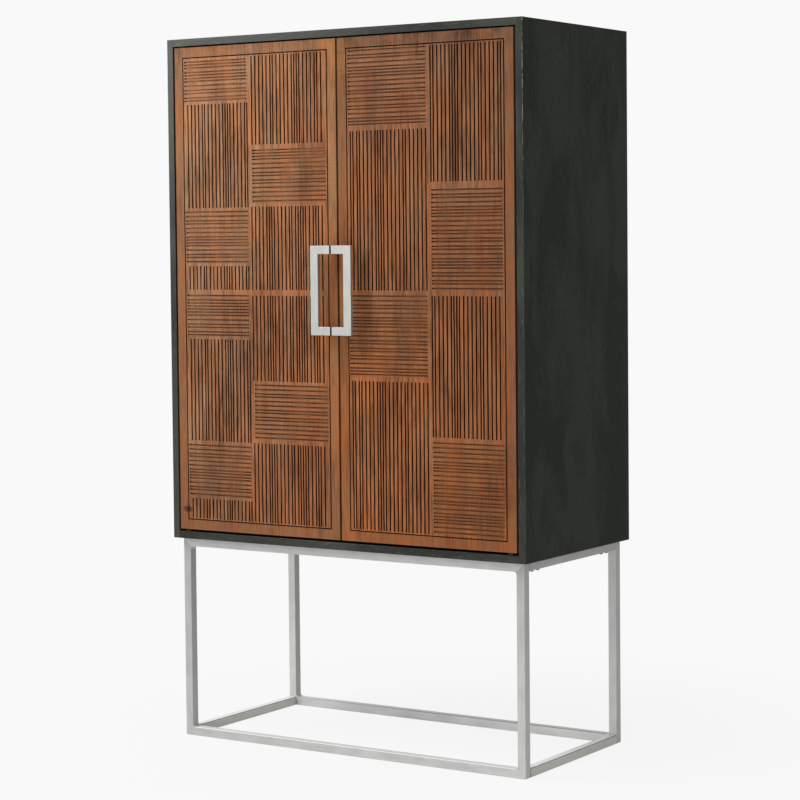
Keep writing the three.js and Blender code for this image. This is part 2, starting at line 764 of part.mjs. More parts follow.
function buildDoor(label, side) {
  const door = new THREE.Group();
  door.add(piece(`${label}_door_panel`, doorPanel(side), 'carvedDoor'));

  const bush = ring(pivotPinRadius + pivotRunningGap, bushRadius, bushLength);
  door.add(piece(`lower_pivot_bush_${label}`, bush, 'bearing'));
  const upperBush = piece(`upper_pivot_bush_${label}`, bush, 'bearing');
  door.add(at(upperBush, 0, 0, doorHeight - bushLength));

  const [lowZ, highZ] = pullHeights();
  const pullMesh = piece(`${label}_pull`, pull(side), 'nickel');
  door.add(at(pullMesh, splitX(side), -doorThickness / 2, (lowZ + highZ) / 2));
  door.add(at(piece(`pull_screw_lower_${label}`, pullScrew(), 'bolt'), postX(side), 0, lowZ));
  door.add(at(piece(`pull_screw_upper_${label}`, pullScrew(), 'bolt'), postX(side), 0, highZ));

  const strikeMiddle = doorMeetingGap / 2 + strikeFromEdge + strikeWidth / 2;
  const strikeXs = [-strikeWidth / 2, strikeWidth / 2];
  const strike = box(strikeXs, [0, strikeThickness], [-strikeHeight, 0]);
  const strikeX = splitX(side) + side * strikeMiddle;
  const strikeMesh = piece(`catch_strike_${label}`, strike, 'bolt');
  door.add(at(strikeMesh, strikeX, doorThickness / 2 + glueLine, doorHeight - glueLine));
  return door;
}

const armoire = new THREE.Group();

const base = buildBase();
base.position.set(0, frontY, 0);
armoire.add(base);

const carcase = buildCase();
carcase.position.set(0, frontY, baseHeight);
armoire.add(carcase);

const doorZ = baseHeight + panelThickness + doorBottomGap;
for (const [label, side] of [['left', -1], ['right', 1]]) {
  const door = buildDoor(label, side);
  door.position.set(side * pivotX, frontY + doorThickness / 2, doorZ);
  armoire.add(door);
}

export default armoire;
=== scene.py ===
"""Looks of a bar armoire: a charcoal case with two carved doors on a base of square steel tube.

Lengths are in metres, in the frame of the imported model: +Z is up and the doors face -Y. Each
sub-assembly is a class that builds its pieces, dresses them and lets them ride on their body.
"""

import logging
import math
from dataclasses import dataclass
from enum import Enum
from functools import cached_property

import bmesh
import bpy
from mathutils import Matrix, Vector


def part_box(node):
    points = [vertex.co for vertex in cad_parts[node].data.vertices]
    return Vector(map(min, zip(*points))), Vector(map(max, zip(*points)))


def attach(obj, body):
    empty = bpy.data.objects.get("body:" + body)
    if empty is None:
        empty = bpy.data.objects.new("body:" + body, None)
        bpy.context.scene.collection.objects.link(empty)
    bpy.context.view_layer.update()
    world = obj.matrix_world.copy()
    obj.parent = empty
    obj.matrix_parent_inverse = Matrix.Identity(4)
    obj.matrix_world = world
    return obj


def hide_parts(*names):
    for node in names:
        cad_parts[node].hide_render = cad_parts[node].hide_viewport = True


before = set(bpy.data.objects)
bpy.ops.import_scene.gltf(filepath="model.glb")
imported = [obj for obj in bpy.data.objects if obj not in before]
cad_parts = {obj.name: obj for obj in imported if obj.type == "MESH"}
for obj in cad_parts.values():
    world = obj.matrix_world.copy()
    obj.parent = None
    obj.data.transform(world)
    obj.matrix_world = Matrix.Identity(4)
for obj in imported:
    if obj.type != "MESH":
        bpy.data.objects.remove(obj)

LOG = logging.getLogger("armoire")
IMAGE_SIDE = 800
SENSOR_WIDTH = 36.0
MERGE_DISTANCE = 1e-6
NEAR = MERGE_DISTANCE * 10
FLAT_ANGLE = math.radians(1)
SHARP_ANGLE = math.radians(25)
SMOOTH_ANGLE = math.radians(30)
SQUARE_ANGLE = math.radians(60)
FULL_TURN = 2 * math.pi

# Least share of a face's normal along Y where the face is an end of a body that lies along Y.
END_SHARE = 0.9

# Share of a normal along one axis from which a face counts as square to that axis.
SQUARE_SHARE = 0.9999

# Y of the front of both doors, and how far behind it their front layer with the grooves reaches.
DOOR_FRONT = -0.237
FRONT_DEPTH = 0.005

CHAMFER_SEGMENTS = 1
RAMP_MIDDLE = 0.5
BLACK = (0.0, 0.0, 0.0)
WHITE = (1.0, 1.0, 1.0)

Colour = tuple[float, float, float]
Point = tuple[float, float, float]
Ends = tuple[float, float]
Profile = list[tuple[float, float]]
Socket = bpy.types.NodeSocket
Material = bpy.types.Material
Mesh = bmesh.types.BMesh
Vert = bmesh.types.BMVert
Edge = bmesh.types.BMEdge
Face = bmesh.types.BMFace


class Body(Enum):
    """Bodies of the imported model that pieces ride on."""

    CABINET = "cabinet"
    LEFT_DOOR = "left_door"
    RIGHT_DOOR = "right_door"


class Side(Enum):
    """Left or right half of the object, with its sign along X."""

    LEFT = -1
    RIGHT = 1

    @property
    def label(self) -> str:
        """Name of the side, as the node names have it."""
        return self.name.lower()


class Place(Enum):
    """Front or rear, as the node names have it."""

    FRONT = "front"
    REAR = "rear"


class Level(Enum):
    """Lower or upper of two pieces, as the node names have it."""

    LOWER = "lower"
    UPPER = "upper"


class Axis(Enum):
    """Axis that a grain, a brushing or a turned piece follows, as a unit vector."""

    X = (1.0, 0.0, 0.0)
    Y = (0.0, 1.0, 0.0)
    Z = (0.0, 0.0, 1.0)

    @property
    def place(self) -> int:
        """Number of the axis, from 0 for X."""
        return self.value.index(1.0)

    def stretch(self, along: float) -> Point:
        """Scale that draws a pattern out along this axis."""
        return tuple(along if part else 1.0 for part in self.value)


def linear(*channels: int) -> Colour:
    """Colour in linear light, from its three sRGB values between 0 and 255."""
    shares = [channel / 255 for channel in channels]
    return tuple(share / 12.92 if share <= 0.04045 else ((share + 0.055) / 1.055) ** 2.4 for share in shares)


@dataclass(frozen=True)
class Pattern:
    """Noise that a finish is made from, with values mostly between 0.3 and 0.7.

    The scale is in features per metre, and along is the share of it that counts along the grain. The
    reach is the range from none to all of the pattern, and the weight is its share of the tone.
    """

    scale: float
    detail: float = 2.0
    along: float = 1.0
    reach: Ends = (0.3, 0.7)
    weight: float = 1.0
    curl: float = 0.0
    offset: Point = (0.0, 0.0, 0.0)


class NodeGraph:
    """Node tree of a material or a world, with short calls for the nodes that the looks use."""

    def __init__(self, owner: Material | bpy.types.World) -> None:
        """Empties the tree and gives it an output.

        Args:
            owner: Material or world that has the tree.
        """
        owner.use_nodes = True
        self.owner, self.tree = owner, owner.node_tree
        self.tree.nodes.clear()
        kind = "World" if isinstance(owner, bpy.types.World) else "Material"
        self.surface = self.tree.nodes.new(f"ShaderNodeOutput{kind}").inputs["Surface"]

    @cached_property
    def coords(self) -> Socket:
        """Object coordinates."""
        return self.tree.nodes.new("ShaderNodeTexCoord").outputs["Object"]

    def add(self, kind: str, inputs: dict[int | str, object], **settings: str) -> bpy.types.Node:
        """Adds a node.

        Args:
            kind: Type of the node.
            inputs: Outputs to link or constants, by the input's number or name.
            **settings: Properties of the node, which are set before its inputs.

        Returns:
            The node.
        """
        node = self.tree.nodes.new(kind)
        for name, setting in settings.items():
            setattr(node, name, setting)
        for place, value in inputs.items():
            target = node.inputs[place]
            if isinstance(value, Socket):
                self.tree.links.new(value, target)
            else:
                target.default_value = (*value, 1.0) if target.type == "RGBA" else value
        return node

    def noise(self, pattern: Pattern, grain: Axis = Axis.Z) -> Socket:
        """Plain value of a pattern.

        Args:
            pattern: The pattern.
            grain: Axis that it is drawn out along.

        Returns:
            The value.
        """
        inputs = {"Vector": self.coords, "Scale": grain.stretch(pattern.along), "Location": pattern.offset}
        placed = self.add("ShaderNodeMapping", inputs).outputs["Vector"]
        inputs = {"Vector": placed, "Scale": pattern.scale, "Detail": pattern.detail}
        return self.add("ShaderNodeTexNoise", {**inputs, "Distortion": pattern.curl}).outputs[0]

    def level(self, pattern: Pattern, grain: Axis = Axis.Z, start: float = 0.0, end: float = 1.0) -> Socket:
        """Value of a pattern, taken from its own reach to a start and an end."""
        return self.spread(self.noise(pattern, grain), *pattern.reach, start, end)

    def calc(self, operation: str, *values: object) -> Socket:
        """Result of a Math operation on two or more values, taken in order.

        Args:
            operation: What is worked out.
            *values: Outputs or constants.

        Returns:
            The result.
        """
        total, *others = values
        for other in others:
            total = self.add("ShaderNodeMath", {0: total, 1: other}, operation=operation).outputs[0]
        return total

    def away(self, value: Socket, middle: float = 0.0) -> Socket:
        """Distance of a value from a middle."""
        beside = self.calc("SUBTRACT", value, middle)
        return self.add("ShaderNodeMath", {0: beside}, operation="ABSOLUTE").outputs[0]

    def blend(self, *parts: tuple[Socket, float]) -> Socket:
        """Sum of values, each times its weight."""
        return self.calc("ADD", *(self.calc("MULTIPLY", *part) for part in parts))

    def spread(self, value: Socket, low: float, high: float, start: float = 0.0, end: float = 1.0) -> Socket:
        """Value taken with a smooth step from the range of low and high to that of start and end."""
        inputs = {"Value": value, "From Min": low, "From Max": high, "To Min": start, "To Max": end}
        return self.add("ShaderNodeMapRange", inputs, interpolation_type="SMOOTHSTEP").outputs["Result"]

    def mixed(self, factor: object, first: object, second: object, blend: str = "MIX") -> Socket:
        """Mix of two colours, by the colour sockets of a Mix node, where the factor is the second's share."""
        inputs = {0: factor, 6: first, 7: second}
        return self.add("ShaderNodeMix", inputs, data_type="RGBA", blend_type=blend).outputs[2]

    def times(self, first: Socket, second: object) -> Socket:
        """Product of two colours."""
        return self.mixed(1.0, first, second, "MULTIPLY")

    def between(self, value: Socket, ends: Ends, first: Colour, second: Colour) -> Socket:
        """Colour that goes from the first to the second as a value goes from end to end."""
        return self.mixed(self.spread(value, *ends), first, second)

    def ramp(self, factor: Socket, stops: list[tuple[float, Colour]], kind: str = "LINEAR") -> Socket:
        """Colour read from a ramp.

        Args:
            factor: Place on the ramp.
            stops: Places and their colours, from low to high.
            kind: How the ramp goes from stop to stop.

        Returns:
            The colour.
        """
        node = self.add("ShaderNodeValToRGB", {0: factor})
        node.color_ramp.interpolation = kind
        elements = node.color_ramp.elements
        while len(elements) < len(stops):
            elements.new(RAMP_MIDDLE)
        for element, (place, colour) in zip(elements, stops):
            element.position = place
            element.color = (*colour, 1.0)
        return node.outputs[0]

    def split(self) -> tuple[Socket, Socket, Socket]:
        """Object coordinates as three values."""
        return tuple(self.add("ShaderNodeSeparateXYZ", {0: self.coords}).outputs)

    def bump(self, height: Socket, strength: float, distance: float) -> Socket:
        """Normal bent by a height, where a value of 1 stands for the distance in metres."""
        inputs = {"Strength": strength, "Distance": distance, "Height": height}
        return self.add("ShaderNodeBump", inputs).outputs["Normal"]

    def seen_directly(self) -> Socket:
        """Value that is 1 for camera, glossy and transmission rays and 0 for others.

        Returns:
            The value.
        """
        rays = self.add("ShaderNodeLightPath", {}).outputs
        kinds = ("Camera", "Glossy", "Transmission")
        return self.calc("MAXIMUM", *(rays[f"Is {kind} Ray"] for kind in kinds))

    def show(self, shader: bpy.types.Node) -> None:
        """Gives a shader to the output."""
        self.tree.links.new(shader.outputs[0], self.surface)

    def show_mix(self, factor: Socket, first: bpy.types.Node, second: bpy.types.Node) -> None:
        """Gives a mix of two shaders to the output, where the factor is the second's share."""
        self.show(self.add("ShaderNodeMixShader", {0: factor, 1: first.outputs[0], 2: second.outputs[0]}))

    def finish(self, colour: Socket, roughness: Socket, specular: float = 0.5, **others: object) -> Material:
        """Finishes the material with a Principled shader.

        Args:
            colour: Base colour.
            roughness: Roughness.
            specular: Specular level.
            **others: Outputs or constants for further inputs of the shader.

        Returns:
            The material.
        """
        inputs = {"Base Color": colour, "Roughness": roughness, "Specular IOR Level": specular}
        self.show(self.add("ShaderNodeBsdfPrincipled", {**inputs, **others}))
        return self.owner


def door_front(graph: NodeGraph) -> Socket:
    """Value that is 1 on the front of a door and in its grooves, and 0 behind them."""
    return graph.calc("LESS_THAN", graph.split()[1], DOOR_FRONT + FRONT_DEPTH)


@dataclass(frozen=True)
class CarvedField:
    """Rectangle of a door that the carving fills, the same on both doors about X = 0."""

    middle_x: float = 0.24375
    half_width: float = 0.2157
    middle_z: float = 1.121
    half_height: float = 0.5715
    softness: float = 0.004

    def mask(self, graph: NodeGraph) -> Socket:
        """Value that is 1 on the carved field of the front and 0 on the border and the back.

        Args:
            graph: Graph that gets the nodes.

        Returns:
            The value.
        """
        x, _, z = graph.split()
        across = graph.calc("SUBTRACT", graph.away(graph.away(x), self.middle_x), self.half_width)
        along = graph.calc("SUBTRACT", graph.away(z, self.middle_z), self.half_height)
        outside = graph.calc("MAXIMUM", across, along)
        inside = graph.spread(outside, -self.softness, self.softness, 1.0, 0.0)
        return graph.calc("MULTIPLY", inside, door_front(graph))


@dataclass(frozen=True)
class CrossBlocks:
    """Blocks of the carving whose grooves run across, as shares down each of four columns."""

    top: float = 1.719
    height: float = 1.196
    splits: tuple[float, ...] = (-0.258, 0.0, 0.256)
    columns: tuple[tuple[Ends, ...], ...] = (
        ((0.029, 0.113), (0.338, 0.444), (0.510, 0.595), (0.820, 0.926)),
        ((0.215, 0.321), (0.692, 0.803)),
        ((0.026, 0.175), (0.509, 0.668)),
        ((0.303, 0.497), (0.793, 0.971)),
    )

    def mask(self, graph: NodeGraph) -> Socket:
        """Value that is 1 on the blocks with grooves across and 0 elsewhere.

        Args:
            graph: Graph that gets the nodes.

        Returns:
            The value.
        """
        x, _, z = graph.split()
        share = graph.calc("DIVIDE", graph.calc("SUBTRACT", self.top, z), self.height)
        masks = []
        for blocks in self.columns:
            stops = [stop for start, end in blocks for stop in ((start, WHITE), (end, BLACK))]
            masks.append(graph.ramp(share, [(0.0, BLACK), *stops], "CONSTANT"))
        found, *others = masks
        for split, mask in zip(self.splits, others):
            found = graph.mixed(graph.calc("GREATER_THAN", x, split), found, mask)
        return found


@dataclass(frozen=True)
class Knot:
    """Small dark knot in the front of a door."""

    x: float = -0.4615
    z: float = 0.5745
    half_width: float = 0.018
    half_height: float = 0.0095
    tone: Ends = (0.6, 1.6)
    depth_of_tone: float = 0.85
    dark: Colour = linear(44, 26, 18)
    fray: Pattern = Pattern(260, 3, along=0.5)

    def mask(self, graph: NodeGraph) -> Socket:
        """Value that is high in the knot's middle and 0 outside it.

        Args:
            graph: Graph that gets the nodes.

        Returns:
            The value.
        """
        x, _, z = graph.split()
        across = graph.calc("DIVIDE", graph.away(x, self.x), self.half_width)
        along = graph.calc("DIVIDE", graph.away(z, self.z), self.half_height)
        squares = (graph.calc("MULTIPLY", part, part) for part in (across, along))
        frayed = graph.calc("ADD", *squares, graph.noise(self.fray, Axis.X))
        core = graph.spread(frayed, *self.tone, self.depth_of_tone, 0.0)
        return graph.calc("MULTIPLY", core, door_front(graph))


@dataclass(frozen=True)
class Rise:
    """Change of a door's colour from its foot to its head."""

    foot: Colour
    head: Colour
    height: Ends = (0.35, 1.9)

    def over(self, graph: NodeGraph, colour: Socket) -> Socket:
        """Colour with the change laid over it."""
        return graph.times(colour, graph.between(graph.split()[2], self.height, self.foot, self.head))


@dataclass(frozen=True)
class CarvedWood:
    """Warm brown solid wood of the doors, with upright grain and cloudy dark stains."""

    name: str
    tint: Colour
    rise: Rise
    # Tints of the field at its outer and its meeting side: partly the wood's tone, partly painted light,
    # brighter to the left.
    outer: Colour
    meeting: Colour
    top_shade: float
    knot: Knot | None = None
    tones: tuple[Colour, ...] = (linear(116, 75, 48), linear(149, 99, 66), linear(169, 116, 79))
    tone_stops: tuple[float, ...] = (0.12, 0.5, 0.88)
    cross: Colour = linear(122, 83, 56)
    row: Colour = linear(158, 109, 73)
    cross_calm: float = 0.45
    border: Colour = linear(142, 96, 65)
    border_calm: float = 0.6
    stile: Ends = (0.03, 0.06)
    stile_tints: tuple[Colour, Colour] = ((1.1, 1.09, 0.93), (0.92, 0.91, 0.9))
    width: Ends = (0.03, 0.47)
    hues: tuple[Colour, Colour] = ((1.08, 0.96, 0.86), (0.95, 1.02, 1.1))
    stain: Colour = linear(50, 38, 31)
    stain_share: float = 0.26
    stain_on_fibre: Ends = (1.5, 0.6)
    back_share: float = 0.3
    top_stretch: Ends = (1.66, 1.72)
    mottle_low: float = 0.3
    tone_reach: Ends = (0.2, 0.8)
    roughness: Ends = (0.62, 0.5)
    relief: Ends = (0.4, 0.0005)
    specular: float = 0.12
    cloud: Pattern = Pattern(15, 2, along=0.35, reach=(0.36, 0.64), weight=0.2)
    strip: Pattern = Pattern(105, 1, along=0.03, reach=(0.38, 0.62), weight=0.22)
    fibre: Pattern = Pattern(520, 3, along=0.035, reach=(0.34, 0.66), weight=0.58)
    cut: Pattern = Pattern(420, 2, along=0.06, reach=(0.42, 0.62))
    hue: Pattern = Pattern(22, 2, along=0.3, reach=(0.38, 0.62), offset=(5.3, 1.1, 2.7))
    patches: Pattern = Pattern(12, 3, along=0.4, reach=(0.46, 0.68), curl=0.4, offset=(3.1, 0.7, 1.9))
    mottle: Pattern = Pattern(34, 3, along=1.0, reach=(0.4, 0.6), offset=(0.2, 4.1, 1.3))

    def material(self) -> Material:
        """The wood as a node material.

        Returns:
            The material.
        """
        graph = NodeGraph(bpy.data.materials.new(self.name))
        fibre = graph.noise(self.fibre)
        fibre_tone = graph.spread(fibre, *self.fibre.reach)
        parts = [(graph.level(pattern), pattern.weight) for pattern in (self.cloud, self.strip)]
        tone = graph.blend(*parts, (fibre_tone, self.fibre.weight))
        wood = self.over_door(graph, self.grained(graph, tone))
        wood = graph.mixed(self.darkness(graph, fibre_tone), wood, self.stain)
        wood = graph.times(wood, self.tint)
        if self.knot:
            wood = graph.mixed(self.knot.mask(graph), wood, self.knot.dark)
        roughness = graph.spread(tone, *self.tone_reach, *self.roughness)
        return graph.finish(wood, roughness, self.specular, Normal=graph.bump(fibre, *self.relief))

    def grained(self, graph: NodeGraph, tone: Socket) -> Socket:
        """Colour of the grain, calmer where the grooves run across, with fine rows there that are partly
        painted glints.

        Args:
            graph: Graph that gets the nodes.
            tone: Lightness of the grain.

        Returns:
            The colour.
        """
        wood = graph.ramp(tone, list(zip(self.tone_stops, self.tones)))
        # Fine rows across the blocks: partly the grain, partly painted glints.
        rows = graph.mixed(graph.level(self.cut, Axis.X), self.cross, self.row)
        return graph.mixed(CrossBlocks().mask(graph), wood, graph.mixed(self.cross_calm, wood, rows))

    def over_door(self, graph: NodeGraph, wood: Socket) -> Socket:
        """Colour with the border and the slow changes over the door, partly painted light that is brighter to
        the left.

        Args:
            graph: Graph that gets the nodes.
            wood: Colour of the grain.

        Returns:
            The colour.
        """
        away = graph.away(graph.split()[0])
        border = graph.mixed(self.border_calm, wood, self.border)
        border = graph.times(border, graph.between(away, self.stile, *self.stile_tints))
        field = graph.times(wood, graph.between(away, self.width, self.meeting, self.outer))
        wood = self.rise.over(graph, graph.mixed(CarvedField().mask(graph), border, field))
        return graph.times(wood, graph.mixed(graph.level(self.hue), *self.hues))

    def darkness(self, graph: NodeGraph, fibre_tone: Socket) -> Socket:
        """Share of the dark stain, in patches and along the head of the front.

        Args:
            graph: Graph that gets the nodes.
            fibre_tone: Lightness of the fibres, which break the stain up.

        Returns:
            The share.
        """
        front = door_front(graph)
        behind = graph.spread(front, 0, 1, self.back_share)
        patches = graph.calc("MULTIPLY", graph.level(self.patches), behind)
        head = graph.spread(graph.split()[2], *self.top_stretch, 0.0, self.top_shade / self.stain_share)
        shade = graph.calc("MULTIPLY", graph.level(self.mottle, start=self.mottle_low), head, front)
        broken = graph.spread(fibre_tone, 0, 1, *self.stain_on_fibre)
        return graph.calc("MULTIPLY", graph.calc("ADD", patches, shade), broken, self.stain_share)


@dataclass(frozen=True)
class GrooveWood:
    """Dark colour that lies in the cut grooves: partly a stain and partly painted shade."""

    name: str
    dark: Colour
    brown: Colour
    rise: Rise
    patches: Pattern = Pattern(60, 3, along=0.4, reach=(0.36, 0.64))
    rough_reach: Ends = (0.3, 0.7)
    roughness: Ends = (0.6, 0.75)
    specular: float = 0.1

    def material(self) -> Material:
        """The groove colour, partly stain and partly painted shade, as a node material.

        Returns:
            The material.
        """
        graph = NodeGraph(bpy.data.materials.new(self.name))
        cloud = graph.noise(self.patches)
        # Colour in the grooves: partly stain, partly painted shade.
        stain = graph.between(cloud, self.patches.reach, self.dark, self.brown)
        roughness = graph.spread(cloud, *self.rough_reach, *self.roughness)
        return graph.finish(self.rise.over(graph, stain), roughness, self.specular)


@dataclass(frozen=True)
class CrossGrooveWood(GrooveWood):
    """Paler colour in the grooves that run across, partly a stain and partly painted shade, with broader
    patches.
    """

    patches: Pattern = Pattern(20, 3, along=0.4, reach=(0.36, 0.64))


@dataclass(frozen=True)
class StainedWood:
    """Charcoal stain on the case: flat, with faint clouds and fine pores along the grain."""

    name: str
    grain: Axis
    low: Colour = linear(46, 50, 44)
    high: Colour = linear(58, 62, 55)
    pore: Colour = linear(33, 36, 32)
    fleck: Colour = linear(86, 90, 82)
    pore_share: float = 0.5
    fleck_share: float = 0.35
    tone_reach: Ends = (0.4, 0.6)
    roughness: Ends = (0.28, 0.34)
    relief: Ends = (0.3, 0.0003)
    specular: float = 0.012
    cloud: Pattern = Pattern(9, 4, along=0.4, reach=(0.35, 0.65), weight=0.8, curl=0.5)
    streak: Pattern = Pattern(120, 4, along=0.1, weight=0.2)
    pores: Pattern = Pattern(600, 3, along=0.06, reach=(0.54, 0.68))
    rubbed: Pattern = Pattern(260, 2, along=0.2, reach=(0.6, 0.7), offset=(1.3, 2.1, 0.4))

    def material(self) -> Material:
        """The stain as a node material.

        Returns:
            The material.
        """
        graph = NodeGraph(bpy.data.materials.new(self.name))
        cloud, streak = graph.noise(self.cloud, self.grain), graph.noise(self.streak, self.grain)
        pores = graph.noise(self.pores, self.grain)
        tone = graph.blend((cloud, self.cloud.weight), (streak, self.streak.weight))
        paint = graph.between(tone, self.tone_reach, self.low, self.high)
        paint = graph.mixed(graph.spread(pores, *self.pores.reach, 0.0, self.pore_share), paint, self.pore)
        paint = graph.mixed(graph.level(self.rubbed, self.grain, 0.0, self.fleck_share), paint, self.fleck)
        roughness = graph.spread(cloud, *self.cloud.reach, *self.roughness)
        return graph.finish(paint, roughness, self.specular, Normal=graph.bump(pores, *self.relief))


@dataclass(frozen=True)
class WornArris:
    """Pale specks along an upright corner of the case, most of all near its top: partly worn stain, partly a
    painted highlight.
    """

    name: str
    dull: Colour = linear(50, 53, 47)
    pale: Colour = linear(190, 192, 182)
    fade: Ends = (1.2, 1.7)
    speck_share: Ends = (0.1, 0.95)
    roughness: Ends = (0.4, 0.5)
    specular: float = 0.3
    specks: Pattern = Pattern(190, 3, along=0.4, reach=(0.42, 0.58))

    def material(self) -> Material:
        """The worn stain and painted highlight as a node material.

        Returns:
            The material.
        """
        graph = NodeGraph(bpy.data.materials.new(self.name))
        specks = graph.level(self.specks)
        # Specks of wear and painted highlight, more of them towards the top.
        share = graph.calc("MULTIPLY", specks, graph.spread(graph.split()[2], *self.fade, *self.speck_share))
        colour = graph.mixed(share, self.dull, self.pale)
        return graph.finish(colour, graph.spread(specks, 0, 1, *self.roughness), self.specular)


@dataclass(frozen=True)
class PlainWood:
    """Veneer or solid wood of the inside, with grain along one axis."""

    name: str
    grain: Axis
    dark: Colour
    light: Colour
    tone_reach: Ends = (0.36, 0.64)
    roughness: Ends = (0.5, 0.62)
    relief: Ends = (0.25, 0.0003)
    specular: float = 0.35
    rings: Pattern = Pattern(26, 4, along=0.07, reach=(0.3, 0.7), weight=0.7, curl=0.8)
    fibre: Pattern = Pattern(540, 3, along=0.03, weight=0.3)

    def material(self) -> Material:
        """The wood as a node material.

        Returns:
            The material.
        """
        graph = NodeGraph(bpy.data.materials.new(self.name))
        rings, fibre = graph.noise(self.rings, self.grain), graph.noise(self.fibre, self.grain)
        tone = graph.blend((rings, self.rings.weight), (fibre, self.fibre.weight))
        colour = graph.between(tone, self.tone_reach, self.dark, self.light)
        roughness = graph.spread(rings, *self.rings.reach, *self.roughness)
        return graph.finish(colour, roughness, self.specular, Normal=graph.bump(fibre, *self.relief))


@dataclass(frozen=True)
class Fade:
    """Painted light on the base's steel: a change in lightness from the floor up and from left to right."""

    foot_to_head: Ends
    left_to_right: Ends
    height: Ends = (0.0, 0.5)
    width: Ends = (-0.5, 0.5)

    def read(self, graph: NodeGraph) -> Socket:
        """Value that the steel's colour is multiplied by.

        Args:
            graph: Graph that gets the nodes.

        Returns:
            The value.
        """
        x, _, z = graph.split()
        upwards = graph.spread(z, *self.height, *self.foot_to_head)
        return graph.calc("MULTIPLY", upwards, graph.spread(x, *self.width, *self.left_to_right))


@dataclass(frozen=True)
class BrushedMetal:
    """Metal brushed along one axis, with a faint mottle."""

    name: str
    brushing: Axis
    dark: Colour
    light: Colour
    roughness: float
    metallic: float = 1.0
    fade: Fade | None = None
    smoother: float = 0.05
    rougher: float = 0.06
    rough_reach: Ends = (0.35, 0.65)
    tone_reach: Ends = (0.38, 0.62)
    relief: Ends = (0.15, 0.0001)
    lines: Pattern = Pattern(900, 3, along=0.02, weight=0.5)
    mottle: Pattern = Pattern(32, 3, along=0.5, weight=0.5)

    def material(self) -> Material:
        """The metal as a node material.

        Returns:
            The material.
        """
        graph = NodeGraph(bpy.data.materials.new(self.name))
        lines, mottle = graph.noise(self.lines, self.brushing), graph.noise(self.mottle, self.brushing)
        tone = graph.blend((lines, self.lines.weight), (mottle, self.mottle.weight))
        ends = (self.roughness - self.smoother, self.roughness + self.rougher)
        metal = graph.between(tone, self.tone_reach, self.dark, self.light)
        # Painted light over the metal, where it has a fade.
        if self.fade:
            metal = graph.times(metal, self.fade.read(graph))
        rough = graph.spread(tone, *self.rough_reach, *ends)
        return graph.finish(metal, rough, Metallic=self.metallic, Normal=graph.bump(lines, *self.relief))


@dataclass(frozen=True)
class MouldedPlastic:
    """Matt moulded plastic with a fine texture."""

    name: str
    dark: Colour
    light: Colour
    roughness: Ends = (0.48, 0.6)
    relief: Ends = (0.3, 0.0001)
    grain: Pattern = Pattern(1400)
    cloud: Pattern = Pattern(60, reach=(0.35, 0.65))

    def material(self) -> Material:
        """The plastic as a node material.

        Returns:
            The material.
        """
        graph = NodeGraph(bpy.data.materials.new(self.name))
        grain = graph.noise(self.grain)
        colour = graph.mixed(graph.level(self.cloud), self.dark, self.light)
        roughness = graph.spread(grain, *self.grain.reach, *self.roughness)
        return graph.finish(colour, roughness, Normal=graph.bump(grain, *self.relief))


@dataclass(frozen=True)
class Coat:
    """Finish of a piece: its slot in the record, and its materials in the order that its faces use."""

    slot: str
    materials: tuple[Material, ...]


